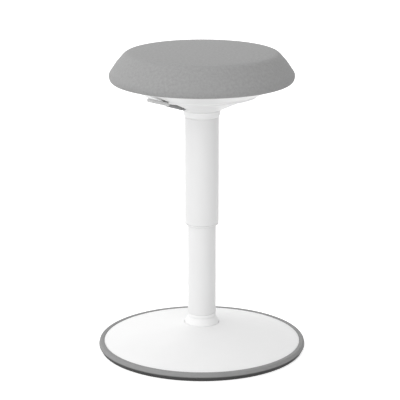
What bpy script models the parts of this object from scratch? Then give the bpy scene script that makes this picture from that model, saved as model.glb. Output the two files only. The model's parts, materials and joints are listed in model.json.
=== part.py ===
"""Active stool with a leaning column.

A round cushioned seat rides on a gas spring inside a telescopic column. The column's foot
leans on a ball dome in the middle of a weighted base, about a universal joint whose rubber
bushes bring it upright again. Metres, +Z up, origin on the floor at the stool's axis.
Turned profiles are lists of (radius, height).
"""

import math

import bmesh
import bpy
from mathutils import Matrix, Vector

# Fits
TOUCH = 0.0003  # gap between faces that bear on each other
RUNNING = 0.0005  # gap round a piece that slides or turns

# Facets in one turn of a round piece
LARGE_TURN = 40
CUSHION_TURN = 32
MEDIUM_TURN = 24
FINE_TURN = 16
SMALL_TURN = 10
ARC_STEP = math.radians(23)

# Base: steel plate, ballast, moulded cover and rubber rim
PLATE_THICKNESS = 0.004
SOLE_THICKNESS = 0.0037
SOLE_WIDTH = 0.013
RIM_WIDTH = 0.0095
RIM_WALL = 0.0047
RIM_PROUD = 0.001
RIM_UNDERCUT = 0.004
RIM_BELLY = 0.0075
RIM_ROUND = 0.003
COVER_RADIUS = 0.1755
COVER_WALL = 0.0025
COVER_SKIRT = 0.0052
DOME_RISE = 0.0325
DOME_BOW = 0.002
POST_RADIUS = 0.005
COVER_POST_INSET = 0.0155
BALLAST_BORE = 0.085
BALLAST_SPACE = 0.007

# Ball dome and universal joint
LEAN_LIMIT = math.radians(14)
BALL_MARGIN = 0.006
BALL_WALL = 0.003
MOUTH_CLEARANCE = 0.0006
PIVOT_DEPTH = 0.0067
YOKE_RING = 0.011
YOKE_FLANGE = 0.005
EYE_THICKNESS = 0.006
EYE_SPACE = 0.002
EYE_WALL = 0.0037
BUSH_WALL = 0.0022
JOINT_CLEARANCE = 0.0054
FORK_BRIDGE = 0.005
FORK_CHAMFER = 0.004
STEM_RADIUS = 0.010

# Column
TUBE_RADIUS = 0.025
TUBE_WALL = 0.002
BARE_TUBE = 0.1705
FOOT_RING = 0.006
FOOT_SPIGOT_WALL = 0.0022
PLUG_LENGTH = 0.014
CLIP_ROOM = 0.012
BEARING_PLATE = 0.004
RACE_THICKNESS = 0.0015
RACE_RADIUS = 0.013
BALL_CIRCLE = 0.0094
BALL_DIAMETER = 0.003
CAGE_THICKNESS = 0.0016
CAGE_WIDTH = 0.0042
BEARING_BALLS = 8

# Gas spring
LIFT_STROKE = 0.120
STOP_GAP = 0.0035
ROD_RADIUS = 0.005
ROD_COLLAR_RADIUS = 0.009
ROD_COLLAR = 0.004
CLIP_THICKNESS = 0.0015
CLIP_WIDTH = 0.003
CLIP_GROOVE = 0.001
CLIP_OPENING = math.radians(70)
ROD_TIP = 0.003
CYLINDER_RADIUS = 0.014
CYLINDER_WALL = 0.0018
CYLINDER_LIP = 0.0015
CYLINDER_HEAD = 0.010
ROD_GUIDE = 0.012
PISTON_THICKNESS = 0.012
PISTON_SPIGOT = 0.003
TAPER_LENGTH = 0.0315
TAPER_DRAFT = 0.0008
VALVE_RADIUS = 0.004
VALVE_FLANGE = 0.0015
VALVE_PROUD = 0.006
GUIDE_LENGTH = 0.060
GUIDE_FLANGE = 0.003

# Sleeve and collar
SLEEVE_LENGTH = 0.1934
SLEEVE_WALL = 0.002
GLIDE_WALL = 0.0022
GLIDE_LENGTH = 0.022
GLIDE_FLANGE = 0.0015
COLLAR_HEIGHT = 0.0123
COLLAR_FLARE = 0.003
COLLAR_SPIGOT = 0.010
COLLAR_WEB = 0.006
SOCKET_WALL = 0.0037

# Seat: pan, plate, board and cushion
PAN_INSET = 0.0171
PAN_DEPTH = 0.0510
PAN_WALL = 0.0025
PAN_BOW = 0.0007
PAN_BEAD_RADIUS = 0.098
PAN_BEAD = 0.0022
PAN_BEAD_WIDTH = 0.0046
PAN_POST_INSET = 0.009
SEAT_PLATE_SIZE = 0.150
SEAT_PLATE_CORNER = 0.018
SEAT_PLATE_THICKNESS = 0.003
SEAT_BOLT_EDGE = 0.015
BOARD_THICKNESS = 0.012
SEAT_RADIUS = 0.1608
SEAT_HEIGHT = 0.0493
SEAT_CROWN = 0.0033
SHOULDER_INSET = 0.0288
SHOULDER_ROUND = 0.0136
SIDE_BOW = 0.0016
EDGE_HEIGHT = 0.0119
EDGE_ROUND = 0.0062
TUCK_INSET = 0.0014
TUCK_ROUND = 0.0066
FOAM_EDGE = 0.014
FABRIC = 0.0015
HEM_WIDTH = 0.020

# Height lever
LEVER_BEARING = math.radians(232)
LEVER_PIVOT = 0.055
LEVER_PIVOT_HEIGHT = 0.0121
LEVER_INSET = 0.0178
LEVER_DROP = 0.0117
LEVER_DEPTH = 0.008
LEVER_THICKNESS = 0.005
LEVER_EYE = 0.0046
TONGUE_FLAT = 0.010
TONGUE_OVERHANG = 0.001
PIN_RADIUS = 0.0025
PIN_PROUD = 0.001
CHEEK_THICKNESS = 0.0025
CHEEK_SPAN = 0.024
GRIP_LENGTH = 0.0497
GRIP_WIDTH = 0.0118
GRIP_DEPTH = 0.0063
GRIP_CORNER = 0.003
GRIP_EDGE = 0.0012
TANG_DEPTH = 0.003
TANG_END = 0.008
SLOT_CLEARANCE = 0.0039
SLOT_LEAD = 0.008
SLOT_RIM = 0.0107
SLOT_GAP = 0.0015
RECESS_DEPTH = 0.0022

# Fasteners: (head radius, head height, shank radius)
YOKE_BOLT = (0.0055, 0.0025, 0.003)
YOKE_BOLT_COUNT = 4
COVER_SCREW = (0.0040, 0.0025, 0.0018)
COVER_SCREW_COUNT = 4
COVER_SCREW_GRIP = 0.005
SEAT_BOLT = (0.0050, 0.0036, 0.003)
PAN_SCREW = (0.0042, 0.0025, 0.0018)
PAN_SCREW_COUNT = 4
PAN_SCREW_GRIP = 0.010
TEE_NUT_WALL = 0.0013
TEE_NUT_FLANGE_RADIUS = 0.009
TEE_NUT_FLANGE = 0.0012
TEE_NUT_LENGTH = 0.009

# Radii that follow from the fits
RIM_RADIUS = COVER_RADIUS + RIM_WIDTH
PLATE_RADIUS = RIM_RADIUS - RIM_WALL - TOUCH
COVER_POST_CIRCLE = COVER_RADIUS - COVER_POST_INSET
BALLAST_RADIUS = COVER_POST_CIRCLE - POST_RADIUS - BALLAST_SPACE
BALL_RADIUS = TUBE_RADIUS + BALL_MARGIN
BALL_INNER = BALL_RADIUS - BALL_WALL
SEAT_OF_FOOT = BALL_RADIUS + RUNNING
HUB_HOLE = BALL_RADIUS + TOUCH
CORNER_LEAN = math.acos(math.cos(LEAN_LIMIT) ** 2)
STEM_ANGLE = math.asin(STEM_RADIUS / BALL_RADIUS)
MOUTH_RADIUS = BALL_RADIUS * math.sin(STEM_ANGLE + CORNER_LEAN) + MOUTH_CLEARANCE
YOKE_FLANGE_RADIUS = BALL_RADIUS + YOKE_RING
YOKE_BOLT_CIRCLE = BALL_RADIUS + YOKE_RING / 2
TUBE_BORE = TUBE_RADIUS - TUBE_WALL
SLEEVE_BORE = TUBE_RADIUS + RUNNING + GLIDE_WALL + TOUCH
SLEEVE_RADIUS = SLEEVE_BORE + SLEEVE_WALL
COLLAR_RADIUS = SLEEVE_RADIUS + COLLAR_FLARE
CYLINDER_BORE = CYLINDER_RADIUS - CYLINDER_WALL
SOCKET_RADIUS = CYLINDER_RADIUS + TOUCH + SOCKET_WALL
PAN_RADIUS = SEAT_RADIUS - PAN_INSET
LEVER_REACH = SEAT_RADIUS - LEVER_INSET
BOARD_RADIUS = SEAT_RADIUS - FOAM_EDGE
HEM_RADIUS = BOARD_RADIUS - HEM_WIDTH
PAN_POST_CIRCLE = HEM_RADIUS - POST_RADIUS - PAN_POST_INSET
SEAT_BOLT_OFFSET = SEAT_PLATE_SIZE / 2 - SEAT_BOLT_EDGE

# The largest equal eyes that turn inside the ball dome: eye radius e solves
# (e + space + thickness)^2 + e^2 = reach^2
EYE_REACH = BALL_INNER - JOINT_CLEARANCE
EYE_STACK = EYE_SPACE + EYE_THICKNESS
EYE_RADIUS = (math.sqrt(2 * EYE_REACH**2 - EYE_STACK**2) - EYE_STACK) / 2
EYE_INNER = EYE_RADIUS + EYE_SPACE
EYE_OUTER = EYE_INNER + EYE_THICKNESS
EYE_BORE = EYE_RADIUS - EYE_WALL
BUSH_RADIUS = EYE_BORE - TOUCH
BUSH_BORE = BUSH_RADIUS - BUSH_WALL
TRUNNION_RADIUS = BUSH_BORE - TOUCH

# Heights, from the floor up
PLATE_BOTTOM = SOLE_THICKNESS + TOUCH
PLATE_TOP = PLATE_BOTTOM + PLATE_THICKNESS
COVER_FOOT = PLATE_TOP + TOUCH
COVER_EDGE = COVER_FOOT + COVER_SKIRT
HUB_TOP = COVER_EDGE + DOME_RISE
PIVOT = HUB_TOP - PIVOT_DEPTH
YOKE_TOP = COVER_FOOT + YOKE_FLANGE
BRIDGE_BOTTOM = PIVOT + EYE_INNER - EYE_SPACE / 2
BRIDGE_TOP = BRIDGE_BOTTOM + FORK_BRIDGE
FOOT_LEVEL = PIVOT + math.sqrt(SEAT_OF_FOOT**2 - TUBE_RADIUS**2)
FOOT_SHOULDER = FOOT_LEVEL + FOOT_RING
TUBE_BOTTOM = FOOT_SHOULDER + TOUCH
PLUG_BOTTOM = PIVOT + BALL_RADIUS
PLUG_TOP = PLUG_BOTTOM + PLUG_LENGTH
BEARING_BOTTOM = PLUG_TOP + CLIP_ROOM
BEARING_TOP = BEARING_BOTTOM + BEARING_PLATE
LOWER_RACE = BEARING_TOP + TOUCH
CAGE_LEVEL = LOWER_RACE + RACE_THICKNESS + TOUCH
UPPER_RACE = CAGE_LEVEL + BALL_DIAMETER + TOUCH
ROD_SHOULDER = UPPER_RACE + RACE_THICKNESS + TOUCH
ROD_COLLAR_TOP = ROD_SHOULDER + ROD_COLLAR
CYLINDER_BOTTOM = ROD_COLLAR_TOP + STOP_GAP + LIFT_STROKE
ROD_GUIDE_BOTTOM = CYLINDER_BOTTOM + CYLINDER_LIP + TOUCH
PISTON_BOTTOM = ROD_GUIDE_BOTTOM + ROD_GUIDE + TOUCH
PISTON_TOP = PISTON_BOTTOM + PISTON_THICKNESS
SLEEVE_FOOT = FOOT_LEVEL + BARE_TUBE
SLEEVE_BOTTOM = SLEEVE_FOOT + GLIDE_FLANGE + TOUCH
SLEEVE_TOP = SLEEVE_FOOT + SLEEVE_LENGTH
TUBE_TOP = SLEEVE_TOP - LIFT_STROKE - STOP_GAP - GUIDE_FLANGE - TOUCH
COLLAR_TOP = SLEEVE_TOP + COLLAR_HEIGHT
SOCKET_BOTTOM = SLEEVE_TOP
CYLINDER_TOP = SOCKET_BOTTOM + TAPER_LENGTH
VALVE_TOP = CYLINDER_TOP + VALVE_PROUD
PAN_BOTTOM = COLLAR_TOP + TOUCH
PAN_RIM = PAN_BOTTOM + PAN_DEPTH
HEM_BOTTOM = PAN_RIM + TOUCH
BOARD_BOTTOM = HEM_BOTTOM + FABRIC + TOUCH
BOARD_TOP = BOARD_BOTTOM + BOARD_THICKNESS
SEAT_PLATE_TOP = BOARD_BOTTOM - TOUCH
SEAT_PLATE_BOTTOM = SEAT_PLATE_TOP - SEAT_PLATE_THICKNESS
SEAT_TOP = HEM_BOTTOM + SEAT_HEIGHT
LEVER_PIVOT_LEVEL = PAN_BOTTOM + LEVER_PIVOT_HEIGHT
LEVER_RISE = math.atan2(PAN_RIM - LEVER_DROP - LEVER_PIVOT_LEVEL, LEVER_REACH - LEVER_PIVOT)
LEVER_WAY = Vector((math.cos(LEVER_BEARING), math.sin(LEVER_BEARING), 0.0))
LEVER_PLACE = LEVER_WAY * LEVER_PIVOT + Vector((0.0, 0.0, LEVER_PIVOT_LEVEL))

# Name: (colour, roughness, metallic)
FINISHES = {
    "white_moulding": ((0.86, 0.87, 0.88), 0.35, 0.0),
    "white_paint": ((0.86, 0.87, 0.88), 0.30, 0.0),
    "grey_rubber": ((0.27, 0.28, 0.29), 0.75, 0.0),
    "black_rubber": ((0.03, 0.03, 0.03), 0.70, 0.0),
    "grey_fabric": ((0.34, 0.35, 0.36), 0.95, 0.0),
    "foam": ((0.80, 0.72, 0.50), 0.95, 0.0),
    "plywood": ((0.62, 0.46, 0.28), 0.70, 0.0),
    "grey_plastic": ((0.60, 0.60, 0.61), 0.45, 0.0),
    "natural_nylon": ((0.80, 0.79, 0.74), 0.45, 0.0),
    "dark_steel": ((0.12, 0.12, 0.13), 0.45, 1.0),
    "bright_steel": ((0.62, 0.63, 0.65), 0.25, 1.0),
    "cast_iron": ((0.09, 0.09, 0.09), 0.65, 1.0),
}


def finish(name):
    """The named material, made on its first use."""
    material = bpy.data.materials.get(name)
    if material:
        return material
    colour, roughness, metallic = FINISHES[name]
    material = bpy.data.materials.new(name)
    material.use_nodes = True
    shader = material.node_tree.nodes["Principled BSDF"]
    shader.inputs["Base Color"].default_value = (*colour, 1.0)
    shader.inputs["Roughness"].default_value = roughness
    shader.inputs["Metallic"].default_value = metallic
    material.diffuse_color = (*colour, 1.0)
    return material


def arc(centre, radius, start, end, step=ARC_STEP):
    """Points on a circle from one angle to another, both ends included."""
    steps = max(2, math.ceil(abs(end - start) / step))
    angles = [start + (end - start) * i / steps for i in range(steps + 1)]
    return [(centre[0] + radius * math.cos(a), centre[1] + radius * math.sin(a)) for a in angles]


def rounded(corners):
    """Open outline through (x, y, radius) corners, an arc in place of each corner that has a radius."""
    points = []
    for i, (x, y, radius) in enumerate(corners):
        if not radius:
            points.append((x, y))
            continue
        here = Vector((x, y))
        back = (Vector(corners[i - 1][:2]) - here).normalized()
        ahead = (Vector(corners[i + 1][:2]) - here).normalized()
        half = back.angle(ahead) / 2
        centre = here + (back + ahead).normalized() * radius / math.sin(half)
        first = here + back * radius / math.tan(half) - centre
        sweep = math.pi - 2 * half
        if back.x * ahead.y - back.y * ahead.x > 0:
            sweep = -sweep
        start = math.atan2(first.y, first.x)
        points += arc(centre, radius, start, start + sweep)
    return points


def bowed(start, end, bow, steps):
    """Points from start to end along a parabola that rises by bow over the straight line's middle."""
    points = []
    for i in range(steps + 1):
        t = i / steps
        x = start[0] + (end[0] - start[0]) * t
        y = start[1] + (end[1] - start[1]) * t + 4 * bow * t * (1 - t)
        points.append((x, y))
    return points


def inset(outline, depth):
    """An open outline moved to the right of its direction of travel."""
    moved = []
    for i, point in enumerate(outline):
        before = Vector(outline[max(i - 1, 0)])
        after = Vector(outline[min(i + 1, len(outline) - 1)])
        along = (after - before).normalized()
        moved.append((point[0] + along.y * depth, point[1] - along.x * depth))
    return moved


def ring_places(count, radius, first=0.0):
    """Places evenly round a circle."""
    angles = [first + math.tau * i / count for i in range(count)]
    return [(radius * math.cos(a), radius * math.sin(a)) for a in angles]


def new_object(name, bm, material=None):
    """An object from a closed bmesh, with its faces turned outwards."""
    bmesh.ops.remove_doubles(bm, verts=bm.verts, dist=1e-6)
    bmesh.ops.recalc_face_normals(bm, faces=bm.faces)
    mesh = bpy.data.meshes.new(name)
    bm.to_mesh(mesh)
    bm.free()
    mesh.shade_smooth()
    mesh.set_sharp_from_angle(angle=math.radians(35))
    obj = bpy.data.objects.new(name, mesh)
    bpy.context.scene.collection.objects.link(obj)
    if material:
        mesh.materials.append(finish(material))
    else:
        obj.hide_render = True
        obj.display_type = "WIRE"
    return obj


def turn_profile(bm, profile, segments, place=(0.0, 0.0)):
    """Adds a turned shape to bm: a profile that ends on the axis is solid, any other is a ring."""
    solid = profile[0][0] == 0 and profile[-1][0] == 0
    verts = [bm.verts.new((place[0] + r, place[1], z)) for r, z in profile]
    ends = list(zip(verts, verts[1:]))
    if not solid:
        ends.append((verts[-1], verts[0]))
    edges = [bm.edges.new(pair) for pair in ends]
    bmesh.ops.spin(
        bm,
        geom=verts + edges,
        cent=(place[0], place[1], 0.0),
        axis=(0.0, 0.0, 1.0),
        angle=math.tau,
        steps=segments,
        use_merge=True,
    )


def turned(name, profile, segments, material=None, places=((0.0, 0.0),)):
    """A turned piece about Z, or one tool with the same shape at several places."""
    bm = bmesh.new()
    for place in places:
        turn_profile(bm, profile, segments, place)
    return new_object(name, bm, material)


def cylinder(name, radius, bottom, top, segments, material=None, places=((0.0, 0.0),)):
    """A plain upright cylinder, or several as one tool."""
    profile = [(0.0, bottom), (radius, bottom), (radius, top), (0.0, top)]
    return turned(name, profile, segments, material, places)


def prism(name, outline, near, far, frame, material=None):
    """An outline in the frame's first two axes, extruded from near to far along its third."""
    bm = bmesh.new()
    face = bm.faces.new([bm.verts.new((x, y, near)) for x, y in outline])
    side = bmesh.ops.extrude_face_region(bm, geom=[face])["geom"]
    top = [item for item in side if isinstance(item, bmesh.types.BMVert)]
    bmesh.ops.translate(bm, verts=top, vec=(0.0, 0.0, far - near))
    bmesh.ops.transform(bm, matrix=frame, verts=bm.verts)
    return new_object(name, bm, material)


def axes_frame(first, second, origin=(0.0, 0.0, 0.0)):
    """A right-handed frame from two unit axes and an origin."""
    first, second = Vector(first), Vector(second)
    frame = Matrix((first, second, first.cross(second))).transposed().to_4x4()
    frame.translation = origin
    return frame


def upright(bearing):
    """A frame for outlines of (distance along a bearing, height)."""
    return axes_frame((math.cos(bearing), math.sin(bearing), 0.0), (0.0, 0.0, 1.0))


def combine(piece, operation, *tools):
    """Adds a Boolean of each tool to the piece."""
    for tool in tools:
        modifier = piece.modifiers.new(tool.name, "BOOLEAN")
        modifier.operation = operation
        modifier.solver = "EXACT"
        modifier.object = tool
    return piece


def cut(piece, *tools):
    return combine(piece, "DIFFERENCE", *tools)


def join(piece, *tools):
    return combine(piece, "UNION", *tools)


def ride(axis, *pieces):
    """Parents pieces to the empty on their joint's axis and leaves them where they are."""
    for piece in pieces:
        piece.parent = axis
        piece.matrix_parent_inverse = axis.matrix_world.inverted()


def joint_axis(name, place, parent=None):
    """An empty on a joint's axis."""
    empty = bpy.data.objects.new(name, None)
    empty.empty_display_size = 0.03
    bpy.context.scene.collection.objects.link(empty)
    empty.location = place
    if parent:
        ride(parent, empty)
    bpy.context.view_layer.update()
    return empty


def fastener(name, size, seat, length, head_up):
    """A round-headed screw on Z whose head bears at the seat; the shank points away from it."""
    head_radius, head_height, shank_radius = size
    way = -1 if head_up else 1
    head, tip = seat - way * head_height, seat + way * length
    profile = [(0.0, head), (head_radius, head), (head_radius, seat)]
    profile += [(shank_radius, seat), (shank_radius, tip), (0.0, tip)]
    return turned(name, profile, SMALL_TURN, "bright_steel")


def copies(first, places):
    """A piece made on the axis and its copies, which share a mesh, each at its own place."""
    stem = first.name.removesuffix("_1")
    pieces = [first]
    for i in range(2, len(places) + 1):
        piece = bpy.data.objects.new(f"{stem}_{i}", first.data)
        bpy.context.scene.collection.objects.link(piece)
        pieces.append(piece)
    for piece, place in zip(pieces, places):
        piece.location = (*place, 0.0)
    return pieces


def fastener_set(name, places, size, seat, length, head_up=False):
    """Copies of one fastener, numbered from 1."""
    return copies(fastener(f"{name}_1", size, seat, length, head_up), places)


def shell_posts(name, places, flat, shell):
    """Screw posts from a flat end to a shell; the function gives the shell's middle at a radius."""
    bm = bmesh.new()
    for place in places:
        root = shell(math.hypot(*place))
        profile = [(0.0, flat), (POST_RADIUS, flat), (POST_RADIUS, root), (0.0, root)]
        turn_profile(bm, profile, SMALL_TURN, place)
    for vert in bm.verts:
        if abs(vert.co.z - flat) > TOUCH:
            vert.co.z = shell(math.hypot(vert.co.x, vert.co.y))
    return new_object(name, bm)


def dome_height(radius):
    """Height of the base cover's outer face at a radius."""
    t = (COVER_RADIUS - radius) / (COVER_RADIUS - HUB_HOLE)
    return COVER_EDGE + DOME_RISE * t + 4 * DOME_BOW * t * (1 - t)


def pan_height(radius):
    """Height of the seat pan's outer face at a radius."""
    t = (radius - COLLAR_RADIUS) / (PAN_RADIUS - COLLAR_RADIUS)
    return PAN_BOTTOM + (PAN_DEPTH - PAN_WALL) * t + 4 * PAN_BOW * t * (1 - t)


def rubber_rim():
    """Rubber edging that grips the plate's edge and is what the stool stands on."""
    top = COVER_EDGE + RIM_PROUD
    sole_outer = RIM_RADIUS - RIM_UNDERCUT
    corners = [
        (sole_outer - SOLE_WIDTH, 0.0, 0.0),
        (sole_outer, 0.0, 0.0),
        (RIM_RADIUS, RIM_BELLY, RIM_ROUND),
        (RIM_RADIUS - RIM_WIDTH / 5, top, RIM_ROUND),
        (COVER_RADIUS + TOUCH, top, RIM_PROUD),
        (COVER_RADIUS + TOUCH, PLATE_TOP + TOUCH, 0.0),
        (PLATE_RADIUS + TOUCH, PLATE_TOP + TOUCH, 0.0),
        (PLATE_RADIUS + TOUCH, SOLE_THICKNESS, 0.0),
        (sole_outer - SOLE_WIDTH, SOLE_THICKNESS, 0.0),
    ]
    return turned("rubber_rim", rounded(corners), LARGE_TURN, "grey_rubber")


def base_plate(bolt_places, screw_places):
    """Steel disc with holes for the yoke bolts and the cover screws."""
    plate = cylinder("base_plate", PLATE_RADIUS, PLATE_BOTTOM, PLATE_TOP, LARGE_TURN, "dark_steel")
    low, high = PLATE_BOTTOM - PLATE_THICKNESS, PLATE_TOP + PLATE_THICKNESS
    bolt_hole = YOKE_BOLT[2] + TOUCH
    bolt_holes = cylinder("plate_bolt_holes", bolt_hole, low, high, SMALL_TURN, places=bolt_places)
    screw_hole = COVER_SCREW[2] + TOUCH
    screw_holes = cylinder("plate_screw_holes", screw_hole, low, high, SMALL_TURN, places=screw_places)
    return cut(plate, bolt_holes, screw_holes)


def ballast_ring():
    """Cast ring on the plate whose top follows the cover."""
    drop = COVER_WALL + BALLAST_SPACE / 2
    profile = [
        (BALLAST_BORE, COVER_FOOT),
        (BALLAST_RADIUS, COVER_FOOT),
        (BALLAST_RADIUS, dome_height(BALLAST_RADIUS) - drop),
        (BALLAST_BORE, dome_height(BALLAST_BORE) - drop),
    ]
    return turned("ballast_ring", profile, LARGE_TURN, "cast_iron")


def base_cover(screw_places):
    """Shallow domed shell with a hub hole, an upright edge and screw posts inside."""
    outer = bowed((HUB_HOLE, HUB_TOP), (COVER_RADIUS, COVER_EDGE), DOME_BOW, 5)
    inner_radius = COVER_RADIUS - COVER_WALL
    inner_edge = (inner_radius, dome_height(inner_radius) - COVER_WALL)
    inner = bowed(inner_edge, (HUB_HOLE, HUB_TOP - COVER_WALL), DOME_BOW, 4)
    profile = [*outer, (COVER_RADIUS, COVER_FOOT), (inner_radius, COVER_FOOT), *inner]
    cover = turned("base_cover", profile, LARGE_TURN, "white_moulding")
    posts = shell_posts("cover_posts", screw_places, COVER_FOOT, lambda r: dome_height(r) - COVER_WALL / 2)
    hole = COVER_SCREW[2] + TOUCH
    hole_top = COVER_FOOT + COVER_SCREW_GRIP + TOUCH
    holes = cylinder("cover_post_holes", hole, COVER_FOOT - TOUCH, hole_top, SMALL_TURN, places=screw_places)
    return cut(join(cover, posts), holes)


def ball_dome():
    """Moulded ball zone on a round wall, open at the top for the column's stem."""
    outer_start = math.acos(MOUTH_RADIUS / BALL_RADIUS)
    inner_start = math.acos(MOUTH_RADIUS / BALL_INNER)
    profile = arc((0.0, PIVOT), BALL_RADIUS, outer_start, 0.0)
    profile += [(BALL_RADIUS, YOKE_TOP + TOUCH), (BALL_INNER, YOKE_TOP + TOUCH)]
    profile += arc((0.0, PIVOT), BALL_INNER, 0.0, inner_start)
    return turned("ball_dome", profile, MEDIUM_TURN, "white_moulding")


def base_yoke(bolt_places):
    """Flange with two upright lugs that carry the cross along Y."""
    yoke = cylinder("base_yoke", YOKE_FLANGE_RADIUS, COVER_FOOT, YOKE_TOP, MEDIUM_TURN, "dark_steel")
    root = YOKE_TOP - YOKE_FLANGE / 2
    outline = [(-EYE_RADIUS, root), (EYE_RADIUS, root), *arc((0.0, PIVOT), EYE_RADIUS, 0.0, math.pi)]
    for way, side in ((-1, "front"), (1, "rear")):
        near, far = sorted((-way * EYE_INNER, -way * EYE_OUTER))
        join(yoke, prism(f"yoke_lug_{side}", outline, near, far, upright(0.0)))
    bore = cylinder("yoke_bore", EYE_BORE, -2 * EYE_OUTER, 2 * EYE_OUTER, MEDIUM_TURN)
    bore.location.z = PIVOT
    bore.rotation_euler.x = math.pi / 2
    hole = YOKE_BOLT[2] + TOUCH
    low, high = COVER_FOOT - YOKE_FLANGE, YOKE_TOP + YOKE_FLANGE
    return cut(yoke, bore, cylinder("yoke_bolt_holes", hole, low, high, SMALL_TURN, places=bolt_places))


def torsion_bush(name, bearing):
    """Rubber bush between an eye and its trunnion, on a bearing from the pivot."""
    half = EYE_THICKNESS / 2
    profile = [(BUSH_BORE, -half), (BUSH_RADIUS, -half), (BUSH_RADIUS, half), (BUSH_BORE, half)]
    bush = turned(name, profile, FINE_TURN, "black_rubber")
    middle = EYE_INNER + half
    bush.location = (middle * math.cos(bearing), middle * math.sin(bearing), PIVOT)
    bush.rotation_euler = (0.0, math.pi / 2, bearing)
    return bush


def pivot_cross():
    """Round-bodied cross with four trunnions."""
    body = EYE_INNER - EYE_SPACE
    profile = arc((0.0, 0.0), body, -math.pi / 2, math.pi / 2)
    profile[0], profile[-1] = (0.0, -body), (0.0, body)
    cross = turned("pivot_cross", profile, FINE_TURN, "bright_steel")
    cross.location.z = PIVOT
    reach = EYE_OUTER + TOUCH
    for axis, name in enumerate(("cross_trunnions_y", "cross_trunnions_x")):
        trunnions = cylinder(name, TRUNNION_RADIUS, -reach, reach, FINE_TURN)
        trunnions.location.z = PIVOT
        trunnions.rotation_euler[axis] = math.pi / 2
        join(cross, trunnions)
    return cross


def column_fork():
    """Fork that hangs on the cross along X, with a stem and the plug that closes the stand tube."""
    plug = TUBE_BORE - TOUCH
    swing = (BRIDGE_TOP - PIVOT) * math.sin(LEAN_LIMIT)
    half_width = (EYE_INNER - swing) / math.cos(LEAN_LIMIT) - RUNNING
    stem_root = BRIDGE_TOP - FORK_BRIDGE / 2
    profile = [(0.0, stem_root), (STEM_RADIUS, stem_root), (STEM_RADIUS, PLUG_BOTTOM)]
    profile += [(plug, PLUG_BOTTOM), (plug, PLUG_TOP), (0.0, PLUG_TOP)]
    fork = turned("column_fork", profile, MEDIUM_TURN, "dark_steel")
    end = EYE_OUTER + RUNNING
    chamfer = min(FORK_CHAMFER, FORK_BRIDGE - TOUCH)
    bridge = [(-end, BRIDGE_BOTTOM), (end, BRIDGE_BOTTOM), (end, BRIDGE_TOP - chamfer)]
    bridge += [(end - chamfer, BRIDGE_TOP), (chamfer - end, BRIDGE_TOP), (-end, BRIDGE_TOP - chamfer)]
    join(fork, prism("fork_bridge", bridge, -half_width, half_width, upright(0.0)))
    arm_top = BRIDGE_BOTTOM + FORK_BRIDGE / 4
    lean = math.radians(20)
    arm = arc((0.0, PIVOT), EYE_RADIUS, lean, -math.pi - lean)
    arm += [(-half_width + TOUCH, arm_top), (half_width - TOUCH, arm_top)]
    for way, side in ((-1, "left"), (1, "right")):
        near, far = sorted((way * EYE_INNER, way * EYE_OUTER))
        join(fork, prism(f"fork_arm_{side}", arm, near, far, upright(math.pi / 2)))
    bore = cylinder("fork_bore", EYE_BORE, -2 * EYE_OUTER, 2 * EYE_OUTER, FINE_TURN)
    bore.location.z = PIVOT
    bore.rotation_euler.y = math.pi / 2
    return cut(fork, bore)


def foot_glide():
    """Ring in the tube's foot whose round seat slides over the ball dome."""
    spigot = TUBE_BORE - TOUCH
    bore = spigot - FOOT_SPIGOT_WALL
    top = PLUG_BOTTOM - TOUCH
    profile = [(TUBE_RADIUS, FOOT_SHOULDER), (spigot, FOOT_SHOULDER), (spigot, top), (bore, top)]
    start, end = math.acos(bore / SEAT_OF_FOOT), math.acos(TUBE_RADIUS / SEAT_OF_FOOT)
    profile += arc((0.0, PIVOT), SEAT_OF_FOOT, start, end)
    return turned("foot_glide", profile, MEDIUM_TURN, "white_moulding")


def tube(name, outer, bore, bottom, top, segments, material):
    """A plain tube about Z."""
    profile = [(outer, top), (outer, bottom), (bore, bottom), (bore, top)]
    return turned(name, profile, segments, material)


def painted_tube(name, outer, bore, bottom, top):
    """One of the column's two painted tubes."""
    return tube(name, outer, bore, bottom, top, MEDIUM_TURN, "white_paint")


def bearing_plate():
    """Disc pressed into the tube that carries the thrust bearing."""
    outer = TUBE_BORE - TOUCH
    bore = ROD_RADIUS + RUNNING
    return tube("bearing_plate", outer, bore, BEARING_BOTTOM, BEARING_TOP, MEDIUM_TURN, "dark_steel")


def bearing_race(name, bottom):
    """Flat washer of the thrust bearing."""
    bore = ROD_RADIUS + RUNNING
    return tube(name, RACE_RADIUS, bore, bottom, bottom + RACE_THICKNESS, MEDIUM_TURN, "bright_steel")


def ball_cage():
    """Ring that holds the bearing's balls."""
    middle = CAGE_LEVEL + BALL_DIAMETER / 2
    half_width, half_height = CAGE_WIDTH / 2, CAGE_THICKNESS / 2
    cage = tube(
        "ball_cage",
        BALL_CIRCLE + half_width,
        BALL_CIRCLE - half_width,
        middle - half_height,
        middle + half_height,
        MEDIUM_TURN,
        "bright_steel",
    )
    ball = BALL_DIAMETER / 2
    quarter = math.pi / 4
    side = arc((0.0, middle), ball, quarter, -quarter, quarter)
    profile = [(0.0, middle + ball), *side, (0.0, middle - ball)]
    return join(cage, turned("bearing_balls", profile, 8, places=ring_places(BEARING_BALLS, BALL_CIRCLE)))


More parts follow.
